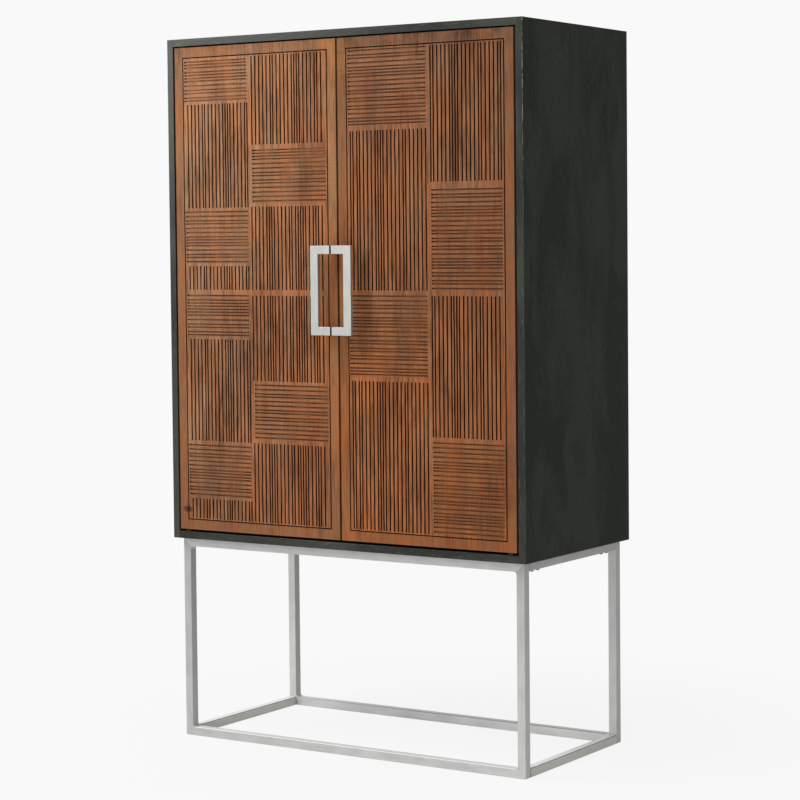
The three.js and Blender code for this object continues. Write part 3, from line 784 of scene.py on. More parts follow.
class Finishes:
    """Coats of all the pieces, with each material made once."""

    def __init__(self) -> None:
        """Builds each coat."""
        self.doors = {Side.LEFT: self.left_door(), Side.RIGHT: self.right_door()}
        # Worn stain and a painted highlight along the case's upright corners.
        arris = WornArris("case_worn_arris").material()
        self.case_upright = self.stained("upright", Axis.Z, arris)
        self.case_level = self.stained("level", Axis.X, arris)
        walnut = (linear(72, 50, 35), linear(108, 77, 55))
        self.inside_upright = self.one("interior_wood", PlainWood("inside_upright", Axis.Z, *walnut))
        self.inside_level = self.one("interior_wood", PlainWood("inside_level", Axis.X, *walnut))
        rack = (linear(112, 68, 42), linear(158, 104, 68))
        self.rack_level = self.one("rack_wood", PlainWood("rack_level", Axis.X, *rack))
        self.rack_deep = self.one("rack_wood", PlainWood("rack_deep", Axis.Y, *rack))
        self.base()
        self.fittings()

    def one(self, slot: str, finish: PlainWood | BrushedMetal | MouldedPlastic) -> Coat:
        """Coat of a single finish."""
        return Coat(slot, (finish.material(),))

    def left_door(self) -> Coat:
        """Coat of the left door, which is paler and has a knot.

        Returns:
            The coat.
        """
        rise = Rise(foot=(0.79, 0.74, 0.71), head=(1.08, 1.18, 1.28))
        wood = CarvedWood(
            "carved_wood_left",
            tint=(1.15, 1.13, 1.09),
            rise=rise,
            # The outer and meeting tints are partly painted light, brighter towards the left.
            outer=(1.01, 1.12, 1.22),
            meeting=(0.966, 0.88, 0.8),
            top_shade=0.25,
            knot=Knot(),
        )
        # Grooves: partly stain and partly painted shade, darkest in the upright ones.
        groove = GrooveWood("carved_groove_left", linear(18, 12, 8), linear(38, 25, 17), rise)
        rise = Rise(foot=(0.62, 0.58, 0.56), head=(1.5, 1.6, 1.75))
        cross = CrossGrooveWood("cross_groove_left", linear(122, 82, 56), linear(168, 117, 81), rise)
        return self.carved(wood, groove, cross)

    def right_door(self) -> Coat:
        """Coat of the right door, which is redder and has a darker head.

        Returns:
            The coat.
        """
        rise = Rise(foot=(1.02, 0.9, 0.77), head=(0.965, 1.04, 1.17))
        wood = CarvedWood(
            "carved_wood_right",
            tint=(0.94, 0.87, 0.775),
            rise=rise,
            # The outer and meeting tints are partly painted light, brighter towards the left.
            outer=(0.9, 0.9, 0.9),
            meeting=(1.1, 1.1, 1.1),
            top_shade=0.5,
        )
        # Grooves: partly stain and partly painted shade, darkest in the upright ones.
        groove = GrooveWood("carved_groove_right", linear(4, 3, 2), linear(14, 9, 6), rise)
        rise = Rise(foot=(1.0, 0.88, 0.75), head=(1.15, 1.25, 1.4))
        cross = CrossGrooveWood("cross_groove_right", linear(118, 78, 54), linear(152, 103, 70), rise)
        return self.carved(wood, groove, cross)

    def carved(self, *woods: CarvedWood | GrooveWood) -> Coat:
        """Coat of a carved door from its wood, its upright grooves and its grooves across, with painted shade
        in the grooves.
        """
        return Coat("carved_wood", tuple(wood.material() for wood in woods))

    def stained(self, way: str, grain: Axis, arris: Material) -> Coat:
        """Coat of an outer panel: its faces, its glossier front edge and its corner of wear and painted
        highlight.

        Args:
            way: Word for the direction of the grain, for the names of the materials.
            grain: Axis of the grain.
            arris: Material of the corner of wear and painted highlight.

        Returns:
            The coat.
        """
        face = StainedWood(f"case_stain_{way}", grain)
        edge = StainedWood(
            f"case_edge_{way}",
            grain,
            low=linear(31, 33, 28),
            high=linear(53, 55, 48),
            pore=linear(20, 21, 18),
            specular=0.28,
        )
        return Coat("stained_wood", (face.material(), edge.material(), arris))

    def base(self) -> None:
        """Builds the coats of the base, with painted light and shade, such as faces paler where they point to
        the light.
        """
        # Painted light: legs lighter near the floor and towards the right.
        legs = Fade(foot_to_head=(1.08, 0.93), left_to_right=(0.93, 1.08))
        steel = (linear(167, 168, 165), linear(180, 181, 178))
        upright = self.tube("satin_tube_upright", Axis.Z, *steel, legs)
        # Painted light: rails lighter towards the upper rail and the right.
        rails = Fade(foot_to_head=(1.0, 1.15), left_to_right=(1.03, 1.12))
        level = self.tube("satin_tube_level", Axis.X, *steel, rails)
        deep = self.tube("satin_tube_deep", Axis.Y, *steel)
        # A paler, slightly warmer copy of the steel for the lower rails' sides: painted light.
        warm_painted_light_deep = self.tube("warm_tube_deep", Axis.Y, linear(194, 193, 187), linear(205, 204, 198))
        # Paler copies of the steel for the rear loop, which the case shades: painted light, more towards the
        # right.
        pale = (linear(188, 189, 186), linear(200, 201, 198))
        rear_painted_light_upright = self.tube("pale_tube_upright", Axis.Z, *pale, legs)
        rails = Fade(foot_to_head=(1.0, 1.0), left_to_right=(1.0, 1.3))
        rear_painted_light_level = self.tube("pale_tube_level", Axis.X, *pale, rails)
        # Lit copies of the steel for faces that point up: painted light.
        lit_level = self.tube("lit_tube_level", Axis.X, linear(208, 209, 206), linear(218, 219, 216))
        lit_deep = self.tube("lit_tube_deep", Axis.Y, linear(230, 231, 228), linear(239, 240, 237))
        # Darker steel for a painted dark line: a dark reflection along arrises and shade in the rails' end
        # seams.
        dull = (linear(104, 105, 101), linear(124, 125, 121))
        line = BrushedMetal("dull_arris", Axis.Y, *dull, roughness=0.5, metallic=0.2).material()
        self.front_loop = Coat("base_steel", (upright, level, lit_level, line))
        self.rear_loop = Coat("base_steel", (rear_painted_light_upright, rear_painted_light_level, lit_level, line, upright))
        self.upper_rail = Coat("base_steel", (deep, lit_deep, line))
        self.lower_rail = Coat("base_steel", (warm_painted_light_deep, lit_deep, line))

    def tube(self, name: str, way: Axis, dark: Colour, light: Colour, fade: Fade | None = None) -> Material:
        """Satin steel of the base's tube."""
        return BrushedMetal(name, way, dark, light, roughness=0.46, metallic=0.2, fade=fade).material()

    def fittings(self) -> None:
        """Builds the coats of the metal and plastic fittings."""
        nickel = (linear(176, 176, 171), linear(189, 189, 184))
        face = BrushedMetal("brushed_nickel", Axis.Z, *nickel, roughness=0.46, metallic=0.45).material()
        # Dark steel for the ends of the pull halves: painted shade in the split between them.
        dull = (linear(52, 50, 46), linear(66, 64, 60))
        end = BrushedMetal("pull_end", Axis.Z, *dull, roughness=0.5, metallic=0.3).material()
        self.pull = Coat("brushed_nickel", (face, end))
        bright = (linear(176, 178, 178), linear(200, 202, 202))
        self.bright = self.one("bright_steel", BrushedMetal("bright_steel", Axis.Z, *bright, roughness=0.26))
        dark = (linear(104, 105, 104), linear(134, 135, 133))
        self.dark = self.one("dark_steel", BrushedMetal("dark_steel", Axis.Z, *dark, roughness=0.38))
        # Brass darkened: painted shade on the pins and rings that show in the gaps round the doors.
        brass = (linear(50, 40, 26), linear(66, 54, 36))
        self.brass = self.one("bearing_brass", BrushedMetal("aged_brass", Axis.Z, *brass, roughness=0.5))
        plastic = MouldedPlastic("catch_plastic", linear(58, 44, 34), linear(70, 54, 42))
        self.plastic = self.one("catch_body", plastic)


@dataclass(frozen=True)
class Box:
    """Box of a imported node."""

    low: Vector
    high: Vector

    def length(self, axis: Axis) -> float:
        """Length along an axis."""
        return self.high[axis.place] - self.low[axis.place]

    def radius(self, axis: Axis) -> float:
        """Radius of a turned body about an axis."""
        return self.length(Axis.Z if axis is Axis.X else Axis.X) / 2

    def foot(self, axis: Axis) -> Vector:
        """Point where the middle line along an axis starts."""
        return (self.low + self.high - Vector(axis.value) * self.length(axis)) / 2

    def depth(self, point: Vector, *axes: Axis) -> float:
        """Least distance along some axes from a point inside the box to its sides."""
        places = [axis.place for axis in axes]
        return min(min(point[place] - self.low[place], self.high[place] - point[place]) for place in places)


def span(part: Edge | Face, axis: Axis) -> float:
    """Length of an edge or a face along an axis."""
    places = [vert.co[axis.place] for vert in part.verts]
    return max(places) - min(places)


def middle(edge: Edge) -> Vector:
    """Middle of an edge."""
    return (edge.verts[0].co + edge.verts[1].co) / 2


def sharp_edges(mesh: Mesh, angle: float = SHARP_ANGLE) -> list[Edge]:
    """Edges where two faces meet at more than an angle."""
    return [edge for edge in mesh.edges if edge.is_manifold and edge.calc_face_angle(0.0) > angle]


def made_whole(mesh: Mesh) -> None:
    """Joins the flat faces of a mesh."""
    bmesh.ops.dissolve_limit(mesh, angle_limit=FLAT_ANGLE, verts=mesh.verts, edges=mesh.edges)


def block(mesh: Mesh, low: Point, high: Point) -> None:
    """Adds a box between two corners.

    Args:
        mesh: Mesh that gets the box.
        low: Lowest corner.
        high: Highest corner.
    """
    low, high = Vector(low), Vector(high)
    verts = bmesh.ops.create_cube(mesh, size=1)["verts"]
    bmesh.ops.scale(mesh, vec=high - low, verts=verts)
    bmesh.ops.translate(mesh, vec=(low + high) / 2, verts=verts)


def open_through(mesh: Mesh, rim: float) -> None:
    """Cuts an opening along Y through a body.

    Args:
        mesh: Mesh of the body.
        rim: Width that is left round the opening.
    """
    ends = [face for face in mesh.faces if abs(face.normal.y) > END_SHARE]
    bmesh.ops.inset_individual(mesh, faces=ends, thickness=rim, use_even_offset=True)
    edges = [edge for face in ends for edge in face.edges]
    bmesh.ops.delete(mesh, geom=ends, context="FACES_ONLY")
    bmesh.ops.bridge_loops(mesh, edges=edges)


def drawn_out(mesh: Mesh, face: Face, step: Vector) -> None:
    """Extrudes a face and moves it.

    Args:
        mesh: Mesh that has the face.
        face: Face to extrude.
        step: How far it moves.
    """
    swept = bmesh.ops.extrude_face_region(mesh, geom=[face])["geom"]
    moved = [part for part in swept if isinstance(part, Vert)]
    bmesh.ops.translate(mesh, vec=step, verts=moved)


def turned(mesh: Mesh, profile: Profile, axis: Axis, foot: Vector, steps: int) -> None:
    """Adds a body turned about an axis.

    Args:
        mesh: Mesh that gets the body.
        profile: Pairs of radius and height along the axis, as an outline.
        axis: Axis of the turning.
        foot: Point of the axis at height 0.
        steps: Number of steps round the axis.
    """
    chain = [mesh.verts.new((radius, 0.0, height)) for radius, height in profile]
    chain += [mesh.edges.new(pair) for pair in zip(chain, chain[1:])]
    known = set(mesh.faces)
    bmesh.ops.spin(
        mesh,
        geom=chain,
        cent=(0, 0, 0),
        axis=Axis.Z.value,
        dvec=(0, 0, 0),
        angle=FULL_TURN,
        steps=steps,
        use_merge=True,
        use_duplicate=False,
    )
    verts = list({vert for face in mesh.faces if face not in known for vert in face.verts})
    turn = Vector(Axis.Z.value).rotation_difference(Vector(axis.value)).to_matrix().to_4x4()
    bmesh.ops.transform(mesh, matrix=Matrix.Translation(foot) @ turn, verts=verts)


def barrel(radius: float, start: float, end: float, nose: float) -> Profile:
    """Outline of a cylinder between two heights, with broken edges of the width nose."""
    return [(radius - nose, start), (radius, start + nose), (radius, end - nose), (radius - nose, end)]


def soften(mesh: Mesh, edges: list[Edge], radius: float, segments: int = 2) -> None:
    """Rounds edges.

    Args:
        mesh: Mesh that has the edges.
        edges: Edges to round.
        radius: Width of the rounding.
        segments: Number of faces across it.
    """
    bmesh.ops.bevel(
        mesh,
        geom=edges,
        offset=radius,
        offset_type="OFFSET",
        affect="EDGES",
        segments=segments,
        profile=0.5,
        clamp_overlap=True,
        material=-1,
    )


def merged_copy(node: str) -> Mesh:
    """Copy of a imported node's mesh, with its loose triangles joined and its flat faces made whole.

    Args:
        node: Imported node.

    Returns:
        The copy.
    """
    mesh = bmesh.new()
    mesh.from_mesh(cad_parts[node].data)
    for layer in list(mesh.loops.layers.uv.values()):
        mesh.loops.layers.uv.remove(layer)
    bmesh.ops.remove_doubles(mesh, verts=mesh.verts, dist=MERGE_DISTANCE)
    made_whole(mesh)
    return mesh


@dataclass
class Assembly:
    """Sub-assembly, whose pieces ride on one body."""

    finishes: Finishes

    @property
    def body(self) -> Body:
        """Body that the pieces ride on."""
        return Body.CABINET

    def finished(self, name: str, mesh: Mesh, coat: Coat, *stands_for: str) -> None:
        """Turns a mesh into a piece of the object.

        Args:
            name: Name of the piece.
            mesh: Its mesh, which is freed.
            coat: Its finish.
            *stands_for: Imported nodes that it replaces.
        """
        bmesh.ops.remove_doubles(mesh, verts=mesh.verts, dist=MERGE_DISTANCE)
        bmesh.ops.recalc_face_normals(mesh, faces=mesh.faces)
        mesh.normal_update()
        for face in mesh.faces:
            face.smooth = max(abs(part) for part in face.normal) < SQUARE_SHARE
        for edge in mesh.edges:
            edge.smooth = not edge.is_manifold or edge.calc_face_angle(0.0) < SMOOTH_ANGLE
        data = bpy.data.meshes.new(name)
        mesh.to_mesh(data)
        mesh.free()
        piece = bpy.data.objects.new(name, data)
        bpy.context.scene.collection.objects.link(piece)
        for material in coat.materials:
            data.materials.append(material)
        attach(piece, self.body.value)
        if stands_for:
            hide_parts(*stands_for)
        LOG.info("%s: %d faces on %s", name, len(data.polygons), self.body.value)

    def softened(self, node: str, name: str, coat: Coat, radius: float) -> None:
        """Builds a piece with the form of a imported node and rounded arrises.

        Args:
            node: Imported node.
            name: Name of the piece.
            coat: Its finish.
            radius: Width of the rounding.
        """
        mesh = merged_copy(node)
        soften(mesh, sharp_edges(mesh), radius)
        self.finished(name, mesh, coat, node)

    def spun(self, node: str, coat: Coat, profile: Profile, axis: Axis = Axis.Z, steps: int = 48) -> None:
        """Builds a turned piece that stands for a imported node.

        Args:
            node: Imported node.
            coat: Its finish.
            profile: Pairs of radius and height along the axis, as an outline.
            axis: Axis of the turning.
            steps: Number of steps round the axis.
        """
        mesh = bmesh.new()
        turned(mesh, profile, axis, Box(*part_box(node)).foot(axis), steps)
        self.finished(f"{node}_piece", mesh, coat, node)

    def ring(self, node: str, bore: float, nose: float = 0.0004) -> None:
        """Builds an upright brass ring with broken edges.

        Args:
            node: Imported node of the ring.
            bore: Radius of its hole.
            nose: Width of the broken edges.
        """
        box = Box(*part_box(node))
        height = box.length(Axis.Z)
        profile = [(bore, nose), (bore + nose, 0), *barrel(box.radius(Axis.Z), 0, height, nose)]
        profile += [(bore + nose, height), (bore, height - nose), (bore, nose)]
        self.spun(node, self.finishes.brass, profile)


class LoopFace(Enum):
    """Faces of a loop of the base, with the number of their material."""

    UPRIGHT = 0
    LEVEL = 1
    TOP = 2
    LINE = 3
    BESIDE = 4


class RailFace(Enum):
    """Faces of a side rail of the base, with the number of their material."""

    BESIDE = 0
    TOP = 1
    LINE = 2


@dataclass
class SteelBase(Assembly):
    """Base of square tube: two welded loops, four side rails and the bolts under them."""

    tube: float = 0.022
    wall: float = 0.0016
    spigot_play: float = 0.0006
    through_share: float = 0.9
    joint_chamfer: float = 0.0009
    up_share: float = 0.6
    bend_share: float = 0.3
    end_share: float = 0.94
    long_edge: float = 0.1

    # The bevel's clamp holds this to 1.7 mm on the loops.
    arris: float = 0.0025

    arris_segments: int = 4
    inner_corner: float = 0.007
    corner_segments: int = 6
    outer_corner: float = 0.003
    bolt_radius: float = 0.003
    bolt_steps: int = 36
    head_radius: float = 0.006
    head_height: float = 0.0045
    crown_turns: tuple[float, ...] = (1.05, 0.8, 0.5, 0.25)
    socket_radius: float = 0.0026
    socket_depth: float = 0.0022
    socket_sides: int = 6

    def build(self) -> None:
        """Builds the loops, rails and bolts."""
        for place in Place:
            self.loop(place)
        for side in Side:
            for level in reversed(Level):
                self.rail(level, side)
            for kind in ("rail", "case"):
                for place in Place:
                    self.bolt(f"{kind}_bolt_{place.value}_{side.label}")

    def loop(self, place: Place) -> None:
        """Builds one welded loop with its four spigots.

        Args:
            place: Front or rear.
        """
        node, rear = f"base_{place.value}_frame", place is Place.REAR
        box = Box(*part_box(node))
        near = box.high.y - self.tube if rear else box.low.y
        mesh = bmesh.new()
        block(mesh, (box.low.x, near, box.low.z), (box.high.x, near + self.tube, box.high.z))
        open_through(mesh, self.tube)
        soften(mesh, self.corner_edges(mesh, box, inside=True), self.inner_corner, self.corner_segments)
        soften(mesh, self.corner_edges(mesh, box, inside=False), self.outer_corner, self.arris_segments)
        soften(mesh, sharp_edges(mesh, SQUARE_ANGLE), self.arris, self.arris_segments)
        self.spigots(mesh, box, rear)
        mesh.normal_update()
        for face in mesh.faces:
            face.material_index = self.loop_face(face, box, rear).value
        coat = self.finishes.rear_loop if rear else self.finishes.front_loop
        self.finished(f"{place.value}_loop", mesh, coat, node)

    def corner_edges(self, mesh: Mesh, box: Box, inside: bool) -> list[Edge]:
        """Edges along Y at a loop's corners, either on the rim of its opening or on its outside."""
        deep = [edge for edge in mesh.edges if self.runs_deep(edge)]
        return [edge for edge in deep if (box.depth(middle(edge), Axis.X) > self.tube / 2) is inside]

    def runs_deep(self, edge: Edge) -> bool:
        """Whether an edge runs along Y through the whole tube."""
        beside = span(edge, Axis.X) + span(edge, Axis.Z)
        return beside < NEAR and span(edge, Axis.Y) > self.tube * self.through_share

    def spigots(self, mesh: Mesh, box: Box, rear: bool) -> None:
        """Adds the four spigots that the side rails slide over.

        Args:
            mesh: Mesh of the loop.
            box: Box of the loop with its spigots.
            rear: Whether it is the rear loop.
        """
        low, high, centre = box.low, box.high, self.tube / 2
        half = centre - self.wall - self.spigot_play
        start, end = (low.y, high.y - self.tube) if rear else (low.y + self.tube, high.y)
        for x in (low.x + centre, high.x - centre):
            for z in (low.z + centre, high.z - centre):
                block(mesh, (x - half, start, z - half), (x + half, end, z + half))

    def loop_face(self, face: Face, box: Box, rear: bool) -> LoopFace:
        """Kind of a loop's face, for its finish.

        Args:
            face: Face of the loop.
            box: Box of the loop.
            rear: Whether it is the rear loop.

        Returns:
            The kind.
        """
        place, normal = face.calc_center_median(), face.normal
        upward = normal.z > self.bend_share and place.z < self.tube + MERGE_DISTANCE
        # Rear loop: a painted dark line on its lower front-top arris, plain steel on its sides, paler copies
        # elsewhere.
        if rear and upward and normal.y < -self.bend_share:
            return LoopFace.LINE
        if rear and abs(normal.x) > self.up_share:
            return LoopFace.BESIDE
        # Faces that point up take a lit copy of the steel: painted light.
        if upward:
            return LoopFace.TOP
        return LoopFace.LEVEL if abs(place.x) < box.high.x - self.tube else LoopFace.UPRIGHT

    def rail(self, level: Level, side: Side) -> None:
        """Builds one hollow side rail.

        Args:
            level: Lower or upper.
            side: Side of the base.
        """
        node, lower = f"base_{level.value}_{side.label}_rail", level is Level.LOWER
        box = Box(*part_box(node))
        mesh = bmesh.new()
        block(mesh, box.low, box.high)
        along = [edge for edge in mesh.edges if span(edge, Axis.Y) > self.long_edge]
        soften(mesh, along, self.arris, self.arris_segments)
        open_through(mesh, self.wall)
        rims = sharp_edges(mesh, SQUARE_ANGLE)
        outer = [edge for edge in rims if box.depth(middle(edge), Axis.X, Axis.Z) < self.wall / 2]
        soften(mesh, outer, self.joint_chamfer, CHAMFER_SEGMENTS)
        mesh.normal_update()
        for face in mesh.faces:
            face.material_index = self.rail_face(face, lower).value
        coat = self.finishes.lower_rail if lower else self.finishes.upper_rail
        self.finished(f"{level.value}_{side.label}_rail", mesh, coat, node)

    def rail_face(self, face: Face, lower: bool) -> RailFace:
        """Kind of a side rail's face, for its finish.

        Args:
            face: Face of the rail.
            lower: Whether it is a lower rail.

        Returns:
            The kind.
        """
        x, y, z = abs(face.normal.x), abs(face.normal.y), face.normal.z
        seam = self.bend_share < y < self.end_share
        # Painted dark line in the end seams and on the lower rails' upper arrises; a lit copy on their tops.
        if seam or (lower and z > self.bend_share and x > self.bend_share):
            return RailFace.LINE
        return RailFace.TOP if lower and z > self.up_share else RailFace.BESIDE

    def bolt(self, node: str) -> None:
        """Builds one button-head bolt with a six-sided socket.

        Args:
            node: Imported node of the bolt.
        """
        box = Box(*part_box(node))
        length, foot = box.length(Axis.Z), box.foot(Axis.Z)
        profile = [(0, self.socket_depth), (self.socket_radius, self.socket_depth), (self.socket_radius, 0)]
        for turn in self.crown_turns:
            profile.append((self.head_radius * math.cos(turn), self.head_height * (1 - math.sin(turn))))
        profile += [(self.head_radius, self.head_height), (self.bolt_radius, self.head_height)]
        profile += [(self.bolt_radius, length), (0, length)]
        mesh = bmesh.new()
        turned(mesh, profile, Axis.Z, foot, self.bolt_steps)
        self.six_sided(mesh, foot)
        self.finished(f"{node}_piece", mesh, self.finishes.dark, node)

    def six_sided(self, mesh: Mesh, foot: Vector) -> None:
        """Pulls the round socket of a bolt onto a hexagon.

        Args:
            mesh: Mesh of the bolt.
            foot: Middle of the head's outer end.
        """
        sector = FULL_TURN / self.socket_sides
        for vert in mesh.verts:
            away = vert.co.xy - foot.xy
            in_socket = vert.co.z - foot.z < self.socket_depth + MERGE_DISTANCE
            if in_socket and abs(away.length - self.socket_radius) < NEAR:
                turn = math.atan2(away.y, away.x) % sector - sector / 2
                reach = self.socket_radius * math.cos(sector / 2) / math.cos(turn)
                vert.co.xy = foot.xy + away.normalized() * reach


class PanelFace(Enum):
    """Faces of an outer panel of the case, with the number of their material."""

    BESIDE = 0
    # Corner with worn stain and a painted highlight.
    FRONT = 1
    WORN = 2


@dataclass
class Carcase(Assembly):
    """Case panels, shelves, racks and the fittings that stay with the case."""

    # The bevel's clamp holds this to between 0.4 and 0.7 mm.
    panel_arris: float = 0.0011

    edge_share: float = 0.3
    board_arris: float = 0.0008
    rest_radius: float = 0.043
    rest_depth: float = 0.020
    rest_steps: int = 14
    rests: int = 4
    bottle_rows: int = 3
    glass_rails: int = 4
    shelf_pin_radius: float = 0.0022
    shelf_pin_depth: float = 0.0089
    shelf_pin_nose: float = 0.0004
    shelf_pin_steps: int = 32
    pivot_radius: float = 0.004
    pivot_nose: float = 0.0006
    flange_thickness: float = 0.002
    flange_from_end: float = 0.0123
    washer_bore: float = 0.0043
    catch_arris: float = 0.0007
    plate_middles: Ends = (-0.0135, 0.0135)
    plate_heights: Ends = (0.0035, 0.0085)
    plate_depth: Ends = (-0.0001, 0.004)
    plate_half_width: float = 0.009
    plate_half_height: float = 0.0007

    def build(self) -> None:
        """Builds the case and everything fixed in it."""
        self.panels()
        self.boards()
        for row in range(self.bottle_rows):
            for place in Place:
                self.bottle_rail(place, row + 1)
        for count in range(self.glass_rails):
            self.board(f"glass_rail_{count + 1}", f"glass_runner_{count + 1}", self.finishes.rack_deep)
        for side in Side:
            for place in Place:
                self.shelf_pin(f"shelf_pin_{place.value}_{side.label}", side)
            for level in Level:
                self.pivot(f"{level.value}_pivot_pin_{side.label}", level is Level.UPPER)
            self.ring(f"thrust_washer_{side.label}", self.washer_bore)
        self.catch()

    def panels(self) -> None:
        """Builds the panels that show from outside."""
        for side in Side:
            self.panel(f"case_{side.label}_side", f"{side.label}_side_panel", self.finishes.case_upright)
        for place in ("bottom", "top"):
            self.panel(f"case_{place}_panel", f"{place}_panel", self.finishes.case_level)
        self.board("case_back_panel", "back_panel", self.finishes.inside_upright)

    def panel(self, node: str, name: str, coat: Coat) -> None:
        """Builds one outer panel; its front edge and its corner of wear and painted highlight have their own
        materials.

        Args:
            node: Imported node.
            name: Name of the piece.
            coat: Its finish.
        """
        mesh = merged_copy(node)
        soften(mesh, sharp_edges(mesh), self.panel_arris)
        mesh.normal_update()
        reach = max(abs(corner.x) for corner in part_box(node))
        for face in mesh.faces:
            if face.normal.y < -self.edge_share:
                # The outer corner takes worn stain and a painted highlight.
                outside = reach - abs(face.calc_center_median().x) < self.panel_arris
                worn_and_highlit = outside and abs(face.normal.x) > self.edge_share
                face.material_index = (PanelFace.WORN if worn_and_highlit else PanelFace.FRONT).value
        self.finished(name, mesh, coat, node)

    def board(self, node: str, name: str, coat: Coat) -> None:
        """Builds one plain board."""
        self.softened(node, name, coat, self.board_arris)

    def boards(self) -> None:
        """Builds the shelves and the divider."""
        for node in ("middle_shelf", "lower_right_shelf", "adjustable_shelf"):
            self.board(node, f"{node}_board", self.finishes.inside_level)
        self.board("lower_divider", "divider_board", self.finishes.inside_upright)

    def bottle_rail(self, place: Place, row: int) -> None:
        """Builds one rail of bottle rests, with round hollows along its upper edge.

        Args:
            place: Front or rear.
            row: Row of bottles, counted from below.
        """
        node = f"bottle_rail_{place.value}_{row}"
        low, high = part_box(node)
        step = (high.x - low.x) / self.rests
        mesh = bmesh.new()
        chain = [mesh.verts.new((low.x, low.y, low.z)), mesh.verts.new((low.x, low.y, high.z))]
        for count in range(self.rests):
            chain += self.hollow(mesh, Vector((low.x + (count + 0.5) * step, low.y, high.z)))
        chain += [mesh.verts.new((high.x, low.y, high.z)), mesh.verts.new((high.x, low.y, low.z))]
        drawn_out(mesh, mesh.faces.new(chain), Vector((0, high.y - low.y, 0)))
        bmesh.ops.recalc_face_normals(mesh, faces=mesh.faces)
        soften(mesh, sharp_edges(mesh, SMOOTH_ANGLE), self.board_arris)
        self.finished(f"bottle_rest_{place.value}_{row}", mesh, self.finishes.rack_level, node)

    def hollow(self, mesh: Mesh, top: Vector) -> list[Vert]:
        """Adds the arc of one bottle rest.

        Args:
            mesh: Mesh of the rail.
            top: Middle of the rest, at the height of the rail's upper edge.

        Returns:
            The arc's vertices from left to right.
        """
        rise = self.rest_radius - self.rest_depth
        half = math.acos(rise / self.rest_radius)
        centre = top + Vector((0, 0, rise))
        first = mesh.verts.new(centre + Vector((-math.sin(half), 0, -math.cos(half))) * self.rest_radius)
        known = set(mesh.verts)
        bmesh.ops.spin(
            mesh,
            geom=[first],
            cent=centre,
            axis=(0, -1, 0),
            dvec=(0, 0, 0),
            angle=2 * half,
            steps=self.rest_steps,
            use_merge=False,
            use_duplicate=False,
        )
        arc = [vert for vert in mesh.verts if vert not in known]
        return [first, *sorted(arc, key=lambda vert: vert.co.x)]

    def shelf_pin(self, node: str, side: Side) -> None:
        """Builds one pin that carries the adjustable shelf.

        Args:
            node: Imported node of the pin.
            side: Side of the case.
        """
        box = Box(*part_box(node))
        length, head = box.length(Axis.X), box.radius(Axis.X)
        shank, depth, nose = self.shelf_pin_radius, self.shelf_pin_depth, self.shelf_pin_nose
        profile = [(0, 0), (shank - nose, 0), (shank, nose), (shank, depth)]
        profile += [*barrel(head, depth, length, nose), (0, length)]
        if side is Side.RIGHT:
            profile = [(radius, length - height) for radius, height in profile]
        self.spun(node, self.finishes.bright, profile, Axis.X, self.shelf_pin_steps)

    def pivot(self, node: str, flanged: bool) -> None:
        """Builds one pivot pin of a door.

        Args:
            node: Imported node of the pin.
            flanged: Whether it has a flange.
        """
        box, radius = Box(*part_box(node)), self.pivot_radius
        length, flange = box.length(Axis.Z), box.radius(Axis.Z)
        profile = [(0, 0), *barrel(radius, 0, length, self.pivot_nose), (0, length)]
        if flanged:
            # The flange comes between the pin's foot and its head.
            top = length - self.flange_from_end
            bottom = top - self.flange_thickness
            profile[3:3] = [(radius, bottom), (flange, bottom), (flange, top), (radius, top)]
        self.spun(node, self.finishes.brass, profile)

    def catch(self) -> None:
        """Builds the housing of the magnetic catch and its pole plates."""
        self.softened("magnetic_catch", "catch_housing", self.finishes.plastic, self.catch_arris)
        low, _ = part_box("magnetic_catch")
        near, far = (low.y + depth for depth in self.plate_depth)
        half = Vector((self.plate_half_width, 0, self.plate_half_height))
        mesh = bmesh.new()
        for x in self.plate_middles:
            for height in self.plate_heights:
                z = low.z + height
                block(mesh, Vector((x, near, z)) - half, Vector((x, far, z)) + half)
        self.finished("catch_pole_plates", mesh, self.finishes.bright)


class DoorFace(Enum):
    """Faces of a carved panel, with the number of their material."""

    WOOD = 0
    # The groove colours are partly stain and partly painted shade.
    GROOVE = 1
    CROSS_GROOVE = 2


class PullFace(Enum):
    """Faces of a pull, with the number of their material."""

    BAR = 0
    END = 1


